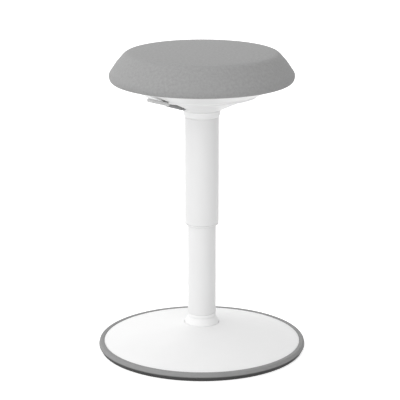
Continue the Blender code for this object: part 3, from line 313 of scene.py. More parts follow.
@dataclass(frozen=True)
class Finish:
    """One finish of the record.

    Attributes:
        slot: the record's material slot.
        colour: linear red, green and blue.
        roughness: middle roughness.
        grain: the fine surface.
        metallic: 1 for bare metal.
        mottle: how far the colour strays either way, as a share.
        specular: the shader's specular level.
        sheen: weight of a cloth sheen.
    """

    slot: str
    colour: tuple[float, float, float]
    roughness: float
    grain: Grain
    metallic: float = 0.0
    mottle: float = 0.02
    specular: float = 0.5
    sheen: float = 0.0

    def material(self) -> bpy.types.Material:
        """The finish as a material, made once."""
        made = bpy.data.materials.get(f"stool_{self.slot}")
        if made:
            return made
        bench = NodeBench(bpy.data.materials.new(f"stool_{self.slot}"))
        bench.feed(bench.shader, Metallic=self.metallic, Sheen_Weight=self.sheen)
        bench.shader.inputs["Specular IOR Level"].default_value = self.specular
        GRAIN_MAKERS[self.grain](self, bench)
        return bench.owner

    def shades(self) -> tuple[tuple[float, ...], tuple[float, ...]]:
        """The darker and the lighter end of the colour."""
        dark = tuple(c * (1 - self.mottle) for c in self.colour)
        light = tuple(min(c * (1 + self.mottle), 1.0) for c in self.colour)
        return dark, light


def rough_and_tint(finish: Finish, bench: NodeBench, patches: Socket, stray: float) -> None:
    """Lets roughness and colour follow the same soft patches.

    Args:
        finish: the finish that is made.
        bench: its material's nodes.
        patches: noise from 0 to 1.
        stray: how far the roughness strays either way.
    """
    bench.tint(bench.spread(patches, 0.0, 1.0), *finish.shades())
    rough = bench.spread(patches, finish.roughness - stray, finish.roughness + stray)
    bench.links.new(rough, bench.shader.inputs["Roughness"])


def moulded_grain(finish: Finish, bench: NodeBench) -> None:
    """Fine spark-eroded grain of a moulding: two noises under a faint patchiness."""
    at = bench.place()
    rough_and_tint(finish, bench, bench.noise(at, 22.0), 0.04)
    grain = bench.math("ADD", bench.noise(at, 1400.0), bench.noise(at, 600.0))
    bench.relief(grain, 0.00002, 0.6)


def powder_grain(finish: Finish, bench: NodeBench) -> None:
    """Orange peel of a powder coat: one soft noise of about 2 mm."""
    at = bench.place()
    rough_and_tint(finish, bench, bench.noise(at, 18.0), 0.03)
    bench.relief(bench.noise(at, 520.0, 1.0), 0.00002, 0.5)


def rubber_grain(finish: Finish, bench: NodeBench) -> None:
    """Matt rubber with scuffed patches and a fine pitted skin, with painted shade below a height of about 8
    mm: the colour turns much darker towards the floor, under the rim's belly.
    """
    at = bench.place()
    scuffs = bench.noise(at, 35.0, 6.0)
    rough = bench.spread(scuffs, finish.roughness - 0.08, finish.roughness + 0.08)
    bench.links.new(rough, bench.shader.inputs["Roughness"])
    parts = bench.add("ShaderNodeSeparateXYZ")
    bench.links.new(at, parts.inputs[0])
    # Painted shade: the colour darkens from 9.2 mm down to 6.2 mm, in place of the shadow under the rim's
    # belly.
    height = bench.spread(parts.outputs["Z"], 0.0, 1.0, 0.0062, 0.0092, interpolation_type="SMOOTHSTEP")
    dark, light = finish.shades()
    # The scuff patches break up the painted shade a little; 0.22 of the dark end is the painted shade's
    # colour.
    painted_shade_share = bench.math("MULTIPLY", bench.spread(scuffs, 0.85, 1.0), height)
    bench.tint(painted_shade_share, tuple(part * 0.22 for part in dark), light)
    bench.relief(bench.noise(at, 900.0, 3.0), 0.00005, 0.6)


def woven_grain(finish: Finish, bench: NodeBench) -> None:
    """Plain weave on the cloth map: yarns about 1.2 mm apart each way, mixed fibres and a little fuzz."""
    at = bench.place(cloth=True)
    yarns = tuple(bench.wave(at, 262.0, direction, 0.4) for direction in ("X", "Y"))
    weave = bench.math("MAXIMUM", *yarns)
    fibres = bench.math("ADD", bench.noise(at, 700.0, 3.0), bench.noise(at, 210.0, 2.0))
    shade = bench.math("ADD", bench.math("MULTIPLY", fibres, 0.40), bench.math("MULTIPLY", weave, 0.15))
    bench.tint(bench.spread(shade, 0.0, 1.0), *finish.shades())
    bench.shader.inputs["Roughness"].default_value = finish.roughness
    fuzz = bench.math("MULTIPLY", bench.noise(at, 1600.0, 3.0), 0.7)
    bench.relief(bench.math("ADD", weave, fuzz), 0.00015, 0.6)


def brushed_grain(finish: Finish, bench: NodeBench) -> None:
    """Plated or coated steel: fine drawn lines, with faint handling marks."""
    lines = bench.noise(bench.place((1.0, 1.0, 0.05)), 900.0, 3.0)
    rough_and_tint(finish, bench, bench.noise(bench.place(), 60.0, 4.0), 0.07)
    bench.relief(lines, 0.00002, 0.4)


def cast_grain(finish: Finish, bench: NodeBench) -> None:
    """Sand-cast skin: coarse lumps with pits."""
    at = bench.place()
    rough_and_tint(finish, bench, bench.noise(at, 90.0, 6.0), 0.1)
    bench.relief(bench.noise(at, 380.0, 6.0), 0.0003, 0.8)


def timber_grain(finish: Finish, bench: NodeBench) -> None:
    """Plywood: long figure along X on the faces, and plies about 1.5 mm thick round the edge."""
    figure = bench.noise(bench.place((2.0, 26.0, 1.0)), 6.0, 5.0)
    plies = bench.wave(bench.place(), 210.0, "Z")
    share = bench.math("ADD", bench.math("MULTIPLY", figure, 0.7), bench.math("MULTIPLY", plies, 0.3))
    rough_and_tint(finish, bench, share, 0.06)
    bench.relief(figure, 0.0001, 0.4)


def foam_grain(finish: Finish, bench: NodeBench) -> None:
    """Open cells of about 1 mm."""
    at = bench.place()
    rough_and_tint(finish, bench, bench.noise(at, 40.0, 3.0), 0.03)
    cells = bench.feed(bench.add("ShaderNodeTexVoronoi"), Vector=at, Scale=900.0).outputs["Distance"]
    bench.relief(cells, 0.0004, 0.8)


GRAIN_MAKERS: dict[Grain, Callable[[Finish, NodeBench], None]] = {
    Grain.MOULDED: moulded_grain,
    Grain.POWDER: powder_grain,
    Grain.RUBBER: rubber_grain,
    Grain.WEAVE: woven_grain,
    Grain.BRUSHED: brushed_grain,
    Grain.CAST: cast_grain,
    Grain.TIMBER: timber_grain,
    Grain.FOAM: foam_grain,
}

FINISHES: dict[str, Finish] = {
    finish.slot: finish
    for finish in (
        Finish("white_moulding", (0.90, 0.90, 0.90), 0.42, Grain.MOULDED, mottle=0.008, specular=0.22),
        Finish("white_paint", (0.82, 0.82, 0.82), 0.36, Grain.POWDER, mottle=0.006, specular=0.28),
        Finish("grey_rubber", (0.30, 0.30, 0.30), 0.78, Grain.RUBBER, mottle=0.06, specular=0.3),
        Finish("black_rubber", (0.03, 0.03, 0.03), 0.7, Grain.RUBBER, mottle=0.1),
        Finish("grey_fabric", (0.35, 0.35, 0.35), 0.95, Grain.WEAVE, mottle=0.16, specular=0.2, sheen=0.08),
        Finish("foam", (0.80, 0.72, 0.50), 0.95, Grain.FOAM, mottle=0.05, specular=0.2),
        Finish("plywood", (0.62, 0.46, 0.28), 0.65, Grain.TIMBER, mottle=0.18),
        Finish("grey_plastic", (0.62, 0.62, 0.62), 0.45, Grain.MOULDED, mottle=0.015),
        Finish("natural_nylon", (0.80, 0.79, 0.74), 0.45, Grain.MOULDED, mottle=0.02),
        Finish("dark_steel", (0.36, 0.36, 0.365), 0.5, Grain.BRUSHED, mottle=0.08),
        Finish("bright_steel", (0.62, 0.63, 0.65), 0.28, Grain.BRUSHED, metallic=1.0, mottle=0.04),
        Finish("cast_iron", (0.09, 0.09, 0.09), 0.7, Grain.CAST, mottle=0.15),
    )
}


def fit_piece(obj: bpy.types.Object, body: str, slot: str, *nodes: str) -> None:
    """Dresses a piece, puts it on its body and lets it stand for CAD nodes.

    Args:
        obj: the new piece.
        body: the CAD body that it moves with.
        slot: the record's material slot that it takes its finish from.
        *nodes: the CAD nodes that it stands for.
    """
    obj.data.materials.clear()
    obj.data.materials.append(FINISHES[slot].material())
    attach(obj, body)
    if nodes:
        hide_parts(*nodes)
    LOG.info("%s on %s: %d faces, for %s", obj.name, body, len(obj.data.polygons), " and ".join(nodes))


# Sub-assemblies


@dataclass
class Base:
    """Rubber rim, domed cover, ball dome and the screws under the plate."""

    columns: int = 192
    rim_radius: float = 0.185
    rim_belly: float = 0.0075
    rim_top: float = 0.0145
    rim_undercut: float = 0.004
    rim_lean: float = 0.0019
    belly_round: float = 0.003
    lip_round: float = 0.001
    sole_round: float = 0.0008
    sole_edge: float = 0.0006
    sole_width: float = 0.013
    sole_thickness: float = 0.0037
    plate_radius: float = 0.180
    plate_top: float = 0.008
    cover_radius: float = 0.1755
    cover_foot: float = 0.0083
    cover_edge: float = 0.0135
    cover_wall: float = 0.0025
    cover_round: float = 0.0012
    hub_round: float = 0.0003
    dome_bow: float = 0.002
    dome_steps: int = 24
    hub_hole: float = 0.0311
    hub_top: float = 0.046
    ball_radius: float = 0.031
    ball_wall: float = 0.003
    ball_mouth: float = 0.0199
    ball_foot: float = 0.0136
    pivot: float = 0.0393
    screw_seat: float = 0.0037
    bolt_circle: float = 0.0365
    screw_circle: float = 0.160
    touch: float = 0.0003

    def build(self) -> None:
        """Builds and dresses every piece of the base."""
        fit_piece(self.rim().mesh_object("rim_shell"), "base", "grey_rubber", "rubber_rim")
        fit_piece(self.cover().mesh_object("cover_shell"), "base", "white_moulding", "base_cover")
        fit_piece(self.ball().mesh_object("ball_shell"), "base", "white_moulding", "ball_dome")
        bolt = Screw(head_radius=0.0055, head_height=0.0025, shank_radius=0.003, length=0.009, socket=0.003)
        post = Screw(head_radius=0.004, head_height=0.0025, shank_radius=0.0018, length=0.0093, socket=0.0022)
        kinds = (
            ("yoke_screw", "yoke_bolt", bolt, self.bolt_circle),
            ("post_screw", "cover_screw", post, self.screw_circle),
        )
        for i in range(4):
            angle = math.pi / 4 + i * math.pi / 2
            for name, node, kind, circle in kinds:
                place = (circle * math.cos(angle), circle * math.sin(angle), self.screw_seat)
                piece = kind.build(f"{name}_{i + 1}", place)
                fit_piece(piece, "base", "bright_steel", f"{node}_{i + 1}")

    def rim(self) -> Surface:
        """The rim's section turned about Z: flat sole, undercut, rounded belly and a lip on the plate."""
        sole = self.rim_radius - self.rim_undercut
        inner = self.plate_radius + self.touch
        lip = self.cover_radius + self.touch
        corners = [
            (sole - self.sole_width, 0.0, self.sole_edge),
            (sole, 0.0, self.sole_round),
            (self.rim_radius, self.rim_belly, self.belly_round),
            (self.rim_radius - self.rim_lean, self.rim_top, self.belly_round),
            (lip, self.rim_top, self.lip_round),
            (lip, self.plate_top + self.touch, 0.0),
            (inner, self.plate_top + self.touch, 0.0),
            (inner, self.sole_thickness, 0.0),
            (sole - self.sole_width, self.sole_thickness, self.sole_edge),
        ]
        return revolve(rounded(corners), self.columns)

    def cover(self) -> Surface:
        """The cover's section turned about Z: a bowed cone with an upright edge, and its inner face."""
        wall, edge = self.cover_wall, self.cover_radius - self.cover_wall
        drop = (self.hub_top - self.cover_edge) * wall / (self.cover_radius - self.hub_hole)
        bow = (self.dome_bow, self.dome_steps)
        under = (self.hub_hole, self.hub_top - wall)
        outer = bowed((self.hub_hole, self.hub_top), (self.cover_radius, self.cover_edge), *bow)
        top = rounded([(*under, 0.0), (*outer[0], self.hub_round), (*outer[1], 0.0)], 4, False)
        skirt = [(*outer[-2], 0.0), (*outer[-1], self.cover_round), (self.cover_radius, self.cover_foot, 0.0)]
        inner = bowed((edge, self.cover_edge + drop - wall), under, *bow)
        section = [top[:-1], outer[1:-2], rounded(skirt, 4, False), [(edge, self.cover_foot)], inner[:-1]]
        return revolve(np.concatenate(section), self.columns)

    def ball(self) -> Surface:
        """The ball dome's section turned about Z: circles about the pivot, on an upright wall."""
        inner = self.ball_radius - self.ball_wall
        ball = arc(self.ball_radius, math.acos(self.ball_mouth / self.ball_radius), 0.0, self.dome_steps)
        hollow = arc(inner, 0.0, math.acos(self.ball_mouth / inner), self.dome_steps)
        level = self.ball_foot - self.pivot
        foot = [(self.ball_radius, level), (inner, level)]
        return revolve(np.concatenate([ball, foot, hollow]) + (0.0, self.pivot), self.columns // 2)


@dataclass
class Screw:
    """A button-headed screw with a hexagon socket, head down; depths are shares of the head's height."""

    head_radius: float
    head_height: float
    shank_radius: float
    length: float
    socket: float
    columns: int = 48
    socket_depth: float = 0.55
    edge_depth: float = 0.5
    crown_drop: float = 0.3
    crown_reach: float = 0.94

    def build(self, name: str, seat: tuple[float, float, float]) -> bpy.types.Object:
        """Turns the screw about its own axis: the socket's radius follows a hexagon, all else a circle.

        Args:
            name: the piece's name.
            seat: where the head bears, on the screw's axis.

        Returns:
            The screw as an object, its place in its mesh.
        """
        angle = np.arange(self.columns) * math.tau / self.columns
        hexagon = self.socket / 2 / np.cos((angle + math.pi / 6) % (math.pi / 3) - math.pi / 6)
        circle = np.ones_like(angle)
        face = -self.head_height
        floor, edge = face * (1 - self.socket_depth), self.head_radius * self.crown_reach
        rows = [(0 * circle, floor), (hexagon * 0.999, floor), (hexagon, face)]
        for t in np.linspace(0.0, 1.0, 6)[1:]:
            rows.append((hexagon * (1 - t) + edge * t, face * (1 - self.crown_drop * t * t)))
        rows += [(circle * self.head_radius, level) for level in (face * self.edge_depth, 0.0)]
        rows += [(circle * self.shank_radius, level) for level in (0.0, self.length)]
        rows.append((0 * circle, self.length))
        radius = np.stack([row[0] for row in rows])
        height = np.array([row[1] for row in rows])[:, None] + 0 * angle
        points = np.stack([radius * np.cos(angle), radius * np.sin(angle), height], axis=-1).reshape(-1, 3)
        surface = Surface(points + np.array(seat), grid_quads(len(rows), self.columns, False, True))
        return surface.mesh_object(name, 30.0)


@dataclass
class Column:
    """The stand tube and the glide ring in its foot."""

    columns: int = 128
    tube_radius: float = 0.025
    tube_bore: float = 0.023
    tube_bottom: float = 0.064764
    tube_top: float = 0.295564
    foot_level: float = 0.058464
    foot_shoulder: float = 0.064464
    spigot_radius: float = 0.0227
    spigot_bore: float = 0.0205
    spigot_top: float = 0.07
    seat_radius: float = 0.0315
    seat_lip: float = 0.0004
    pivot: float = 0.0393
    edge: float = 0.0005

    def build(self) -> None:
        """Builds and dresses the tube and the glide."""
        ends = (self.tube_bottom, self.tube_top)
        tube = plain_tube(self.tube_radius, self.tube_bore, *ends, self.edge, self.columns)
        fit_piece(tube.mesh_object("tube_shell"), "column", "white_paint", "stand_tube")
        fit_piece(self.glide().mesh_object("foot_shell"), "column", "white_moulding", "foot_glide")

    def glide(self) -> Surface:
        """The glide's section turned about Z: a ring, a spigot above it and a round seat about the pivot."""
        reach = (self.spigot_bore, self.tube_radius - self.seat_lip)
        ends = [math.acos(part / self.seat_radius) for part in reach]
        seat = arc(self.seat_radius, *ends, 12) + (0.0, self.pivot)
        corners = [
            (*seat[-1], 0.0),
            (self.tube_radius, self.foot_level + self.edge, 0.0003),
            (self.tube_radius, self.foot_shoulder, 0.0004),
            (self.spigot_radius, self.foot_shoulder, 0.0),
            (self.spigot_radius, self.spigot_top, 0.0003),
            (self.spigot_bore, self.spigot_top, 0.0),
        ]
        return revolve(np.concatenate([rounded(corners, 4, False), seat[:-1]]), self.columns)


def plain_tube(outer: float, bore: float, bottom: float, top: float, edge: float, columns: int) -> Surface:
    """A tube's rounded section turned about Z.

    Args:
        outer: outer radius.
        bore: inner radius.
        bottom: lower end.
        top: upper end.
        edge: radius of the outer edges.
        columns: steps in a full turn.

    Returns:
        The tube's surface.
    """
    corners = [(outer, bottom, edge), (outer, top, edge), (bore, top, 0.0), (bore, bottom, 0.0)]
    return revolve(rounded(corners, 4), columns)


@dataclass
class Sleeve:
    """The sliding sleeve, its glide ring and the flared collar under the seat."""

    columns: int = 128
    bore: float = 0.028
    radius: float = 0.030
    bottom: float = 0.230764
    top: float = 0.422364
    glide_bore: float = 0.0255
    glide_foot: float = 0.228964
    glide_flange: float = 0.0015
    glide_top: float = 0.252464
    glide_spigot: float = 0.0277
    collar_radius: float = 0.033
    collar_bore: float = 0.0183
    collar_top: float = 0.434664
    collar_web: float = 0.006
    collar_spigot: float = 0.010
    flare: float = 0.001
    edge: float = 0.0004
    touch: float = 0.0003

    def build(self) -> None:
        """Builds and dresses the three turned pieces."""
        sleeve = plain_tube(self.radius, self.bore, self.bottom, self.top, self.edge, self.columns)
        fit_piece(sleeve.mesh_object("sleeve_shell"), "seat", "white_paint", "cover_sleeve")
        fit_piece(self.glide().mesh_object("glide_shell"), "seat", "white_moulding", "sleeve_glide")
        fit_piece(self.collar().mesh_object("collar_shell"), "seat", "white_moulding", "sleeve_collar")

    def glide(self) -> Surface:
        """The glide's section turned about Z: a flange under the sleeve and a spigot inside it."""
        shoulder = self.glide_foot + self.glide_flange
        corners = [
            (self.glide_bore, self.glide_foot, self.edge),
            (self.radius, self.glide_foot, 2 * self.edge),
            (self.radius, shoulder, 0.0002),
            (self.glide_spigot, shoulder, 0.0),
            (self.glide_spigot, self.glide_top, 0.0),
            (self.glide_bore, self.glide_top, 0.0),
        ]
        return revolve(rounded(corners, 5), self.columns)

    def collar(self) -> Surface:
        """The collar's section turned about Z: one long flare upwards, with a spigot in the sleeve."""
        shoulder = self.top + self.touch
        drop = (self.collar_top - self.top) / 3
        spigot, web = self.bore - self.touch, self.collar_top - self.collar_web
        corners = [
            (self.collar_bore, self.collar_top, 0.0),
            (self.collar_radius, self.collar_top, self.flare),
            (self.collar_radius - self.flare, self.top + drop, drop),
            (self.radius, shoulder, 0.0003),
            (spigot, shoulder, 0.0),
            (spigot, self.top - self.collar_spigot, 0.0),
            (self.glide_bore, self.top - self.collar_spigot, 0.0),
            (self.glide_bore, web, 0.0),
            (self.collar_bore, web, 0.0),
        ]
        return revolve(rounded(corners, 6), self.columns)


@dataclass
class SeatPan:
    """The conical moulded pan under the seat, with its raised ring and the lever's slot and recess."""

    rows: int = 46
    row_gap: float = 0.0008
    columns: int = 180
    slot_columns: int = 10
    hub_bore: float = 0.0183
    hub_radius: float = 0.033
    rim_radius: float = 0.1437
    bottom: float = 0.434964
    rim: float = 0.485964
    wall: float = 0.0025
    bow: float = 0.0007
    bead_radius: float = 0.098
    bead_height: float = 0.0030
    bead_width: float = 0.0046
    bead_rows: int = 13
    slot_bearing: float = math.radians(232.0)
    slot_near: float = 0.048
    slot_mouth: float = 0.097
    slot_far: float = 0.133
    slot_front: float = 0.0098
    slot_back: float = 0.0070
    recess_half: float = 0.0063
    recess_depth: float = 0.0020
    draft: float = 0.03

    def build(self) -> None:
        """Builds and dresses the shell."""
        fit_piece(self.surface().mesh_object("pan_shell", 40.0), "seat", "white_moulding", "seat_pan")

    def cone(self, radius: np.ndarray) -> np.ndarray:
        """Height of the plain outer face: a straight slope raised by a parabola."""
        t = np.clip((radius - self.hub_radius) / (self.rim_radius - self.hub_radius), 0.0, 1.0)
        return self.bottom + (self.rim - self.wall - self.bottom) * t + 4 * self.bow * t * (1 - t)

    def plan(self, radius: np.ndarray, wider: float) -> np.ndarray:
        """Where the net's points lie in x and y.

        The slot's sides are at the angles -asin(back / r) and asin(front / r) from its middle. Some columns
        share out the slot, with a narrow one at each side for the recess's wall, and the others the rest.

        Args:
            radius: radius of each row.
            wider: how much wider each side of the recess is.

        Returns:
            One x, y for each row and column.
        """
        through = radius < self.slot_mouth - HAIR
        back, front = (
            np.arcsin(np.minimum(np.where(through, side, self.recess_half + wider) / radius, 0.5))[:, None]
            for side in (self.slot_back, self.slot_front)
        )
        middle = np.linspace(self.draft, 1 - self.draft, self.slot_columns - 1)
        inside = (back + front) * np.concatenate([[0.0], middle, [1.0]]) - back
        share = np.linspace(0.0, 1.0, self.columns + 1)[1:-1]
        outside = front + (math.tau - back - front) * share
        angle = np.concatenate([inside, outside], axis=1) + self.slot_bearing
        return radius[:, None, None] * np.stack([np.cos(angle), np.sin(angle)], axis=-1)

    def surface(self) -> Surface:
        """The shell over a net of radius and angle.

        The outer face is the cone less a half-round ridge, height cos(p) at ring radius + half width sin(p).
        The inner face is the cone raised by the wall. Beyond the slot's mouth the slot's columns are raised
        instead by the recess, which runs out evenly towards the rim. Faces inside the slot are left out.

        Returns:
            The closed shell.
        """
        stops = np.array([self.slot_near, self.slot_mouth, self.slot_far])
        bow = np.linspace(-0.5, 0.5, self.bead_rows) * math.pi
        bead = self.bead_radius + self.bead_width / 2 * np.sin(bow)
        plain = np.linspace(self.hub_radius, self.rim_radius, self.rows)
        plain = plain[np.abs(plain[:, None] - np.append(stops, bead)).min(axis=1) > self.row_gap]
        radius = np.unique(np.concatenate([[self.hub_bore], plain, bead, stops]))
        raised = (radius > self.slot_mouth - HAIR) & (radius < self.slot_far + HAIR)
        lift = raised * self.recess_depth * (self.slot_far - radius) / (self.slot_far - self.slot_mouth)
        across = np.clip((radius - self.bead_radius) / (self.bead_width / 2), -1.0, 1.0)
        ridge = self.bead_height * np.sqrt(1 - across**2)
        outer, inner = self.plan(radius, 0.0), self.plan(radius, self.wall)
        count = outer.shape[1]
        inside = (np.arange(count) > 0) & (np.arange(count) < self.slot_columns)
        shift = np.where(inside & raised[:, None], lift[:, None], 0.0)
        low = self.cone(radius)[:, None] + np.where(inside & raised[:, None], shift, -ridge[:, None])
        high = self.cone(radius)[:, None] + self.wall + shift
        quads = grid_quads(len(radius), count, False, True)
        row, column = quads[:, 0] // count, quads[:, 0] % count
        open_row = (radius[row] > self.slot_near - HAIR) & (radius[row] < self.slot_mouth - HAIR)
        faces = [np.dstack([face, level]).reshape(-1, 3) for face, level in ((outer, low), (inner, high))]
        return walled(*faces, quads[~(open_row & (column < self.slot_columns))])


@dataclass
class Cushion:
    """The upholstered cushion: a fabric skin blown up over its foam and held at the hem."""

    cells: int = 144
    radius: float = 0.1608
    hem_bottom: float = 0.486264
    height: float = 0.0493
    crown: float = 0.0033
    shoulder_inset: float = 0.0288
    shoulder_round: float = 0.0136
    side_bow: float = 0.0016
    edge_height: float = 0.0119
    edge_round: float = 0.0062
    tuck_inset: float = 0.0014
    tuck_round: float = 0.0066
    hem_radius: float = 0.1268
    fabric: float = 0.0015
    slack: float = 0.0006
    least_hold: float = 0.03
    cap: float = 0.004
    pressure: float = 0.6
    frames: int = 20

    def build(self) -> None:
        """Builds the skin, blows it up, gives it its thickness and dresses it."""
        surface, hold = self.skin()
        cushion = surface.mesh_object("seat_cushion", 80.0, False)
        self.inflate(cushion, surface, hold)
        cloth = cushion.modifiers.new("cloth", "SOLIDIFY")
        cloth.thickness = self.fabric
        cloth.offset = 1.0
        smooth = cushion.modifiers.new("smooth", "SUBSURF")
        smooth.levels = smooth.render_levels = 1
        fit_piece(cushion, "seat", "grey_fabric", "seat_cover", "seat_foam")

    def outline(self) -> np.ndarray:
        """Radius and height of the skin from the middle of the top to the hem.

        The top is a low crown z = top + crown (1 - (r / crest)^2). Arcs round the shoulder, the swell of the
        side and the lower edge, which tucks in to the hem.

        Returns:
            One row of radius and height per point.
        """
        top = self.hem_bottom + self.height
        widest = np.array((self.radius, self.hem_bottom + self.edge_height))
        shoulder = np.array((self.radius - self.shoulder_inset, top))
        side = widest - shoulder
        out = np.array((-side[1], side[0])) / np.linalg.norm(side)
        swell = (widest + shoulder) / 2 + out * self.side_bow
        crest = shoulder[0] - 2 * self.shoulder_round
        r = np.linspace(0.0, crest, 40)
        crown = np.stack([r, top + self.crown * (1 - (r / crest) ** 2)], axis=1)
        corners = [
            (*crown[-1], 0.0),
            (*shoulder, self.shoulder_round),
            (*swell, self.height),
            (*widest, self.edge_round),
            (self.radius - self.tuck_inset, self.hem_bottom, self.tuck_round),
            (self.hem_radius, self.hem_bottom, 0.0),
        ]
        return np.concatenate([crown[:-1], rounded(corners, 16, False)])

    def skin(self) -> tuple[Surface, np.ndarray]:
        """The skin as a square grid wrapped round the cushion.

        A square ring at distance p from the grid's middle becomes the circle that lies the share p of the way
        along the outline. The cloth map is the same disc laid flat, in metres.

        Returns:
            The skin, and how firmly each point is held: 1 from the lower edge to the hem.
        """
        line = self.outline()
        run = np.concatenate([[0.0], np.cumsum(np.linalg.norm(np.diff(line, axis=0), axis=1))])
        a, b = np.meshgrid(*[np.linspace(-1.0, 1.0, self.cells + 1)] * 2, indexing="ij")
        ring = np.maximum(np.abs(a), np.abs(b))
        across = np.abs(a) >= np.abs(b)
        long, short = np.where(across, a, b), np.where(across, b, a)
        turn = math.pi / 4 * short / np.where(long == 0, 1.0, long)
        angle = np.where(across, turn, math.pi / 2 - turn) + np.where(long < 0, math.pi, 0.0)
        along = ring * run[-1]
        r, z = np.interp(along, run, line[:, 0]), np.interp(along, run, line[:, 1])
        points = np.stack([r * np.cos(angle), r * np.sin(angle), z], axis=-1).reshape(-1, 3)
        flat = np.stack([along * np.cos(angle), along * np.sin(angle)], axis=-1).reshape(-1, 2)
        lower_edge = run[-1] - (self.radius - self.tuck_inset - self.hem_radius)
        hold = np.clip((along - lower_edge) / self.tuck_round, 0.0, 1.0).ravel()
        quads = grid_quads(self.cells + 1, self.cells + 1, False, False)[:, ::-1]
        LOG.info("skin: %d points, %.0f mm from middle to hem", len(points), run[-1] * 1000)
        return Surface(points, quads, flat), hold

    def inflate(self, cushion: bpy.types.Object, surface: Surface, hold: np.ndarray) -> None:
        """Runs the cloth from a slightly smaller shape under a light pressure and keeps the result.

        Args:
            cushion: the skin's object, changed in place.
            surface: the skin as it should come out, about.
            hold: how firmly each point is held.
        """
        mesh = cushion.data
        normals = np.empty(len(mesh.vertices) * 3, np.float32)
        mesh.vertices.foreach_get("normal", normals)
        start = surface.points - normals.reshape(-1, 3) * (self.slack * (1 - hold))[:, None]
        mesh.vertices.foreach_set("co", start.astype(np.float32).ravel())
        pins = cushion.vertex_groups.new(name="hem")
        levels = np.round(np.maximum(hold, self.least_hold), 2)
        for level in np.unique(levels):
            pins.add(np.flatnonzero(levels == level).tolist(), float(level), "REPLACE")
        cloth = cushion.modifiers.new("inflate", "CLOTH")
        settings = cloth.settings
        settings.quality = 5
        settings.mass = 0.15
        settings.tension_stiffness = settings.compression_stiffness = 25.0
        settings.shear_stiffness = 12.0
        settings.bending_stiffness = 4.0
        settings.vertex_group_mass = "hem"
        settings.use_pressure = True
        settings.uniform_pressure_force = self.pressure
        settings.effector_weights.gravity = 0.0
        cloth.point_cache.frame_end = self.frames
        scene = bpy.context.scene
        for step in range(1, self.frames + 1):
            scene.frame_set(step)
        blown = cushion.evaluated_get(bpy.context.evaluated_depsgraph_get()).to_mesh()
        moved = np.empty(len(mesh.vertices) * 3, np.float32)
        blown.vertices.foreach_get("co", moved)
        cushion.modifiers.remove(cloth)
        shift = moved.reshape(-1, 3) - start
        length = np.linalg.norm(shift, axis=1)
        kept = start + shift * np.minimum(1.0, self.cap / np.maximum(length, 1e-9))[:, None]
        mesh.vertices.foreach_set("co", kept.astype(np.float32).ravel())
        mesh.update()
        cushion.vertex_groups.clear()
        scene.frame_set(1)
        LOG.info("cushion moved %.2f mm at most", length.max() * 1000)


@dataclass
class LeverGrip:
    """The moulded grip on the height lever."""

    bearing: float = math.radians(232.0)
    rise: float = math.radians(17.176)
    pivot_reach: float = 0.055
    pivot_height: float = 0.447064
    reach: float = 0.143
    length: float = 0.0497
    width: float = 0.0118
    depth: float = 0.0063
    power: float = 5.0
    tip_round: float = 0.0016
    columns: int = 64

    def build(self) -> None:
        """Builds and dresses the grip."""
        fit_piece(self.surface().mesh_object("grip_shell", 50.0), "lever", "grey_plastic", "lever_grip")

    def surface(self) -> Surface:
        """A superellipse carried along the lever's outer arm and drawn in by a quarter circle at both ends.

        The section is |x / half width|^p + |y / half depth|^p = 1; the ends close on flat caps.

        Returns:
            The closed grip.
        """
        circle = arc(1.0, 0.0, math.tau, self.columns)[:-1]
        section = np.sign(circle) * np.abs(circle) ** (2.0 / self.power)
        quarter = np.linspace(0.0, math.pi / 2, 7)
        ease_in, draw = 1 - np.cos(quarter), 1 - np.sin(quarter)
        end = (self.reach - self.pivot_reach) / math.cos(self.rise)
        start = end - self.length
        middle = np.linspace(start + self.tip_round, end - self.tip_round, 12)[1:-1]
        along = np.concatenate(
            [[start], start + self.tip_round * ease_in, middle, end - self.tip_round * ease_in[::-1], [end]]
        )
        shrink = np.concatenate([draw, 0 * middle, draw[::-1]]) * self.tip_round
        across = np.concatenate([[0.0], self.width / 2 - shrink, [0.0]])
        up = np.concatenate([[0.0], self.depth / 2 - shrink, [0.0]])
        way = np.array([math.cos(self.bearing), math.sin(self.bearing), 0.0])
        upright = np.array([0.0, 0.0, 1.0])
        out_axis = way * math.cos(self.rise) + upright * math.sin(self.rise)
        side_axis = np.cross(upright, way)
        up_axis = np.cross(out_axis, side_axis)
        pivot = way * self.pivot_reach + upright * self.pivot_height
        points = (
            pivot
            + along[:, None, None] * out_axis
            + (across[:, None] * section[:, 0])[..., None] * side_axis
            + (up[:, None] * section[:, 1])[..., None] * up_axis
        )
        return Surface(points.reshape(-1, 3), grid_quads(len(along), self.columns, False, True))


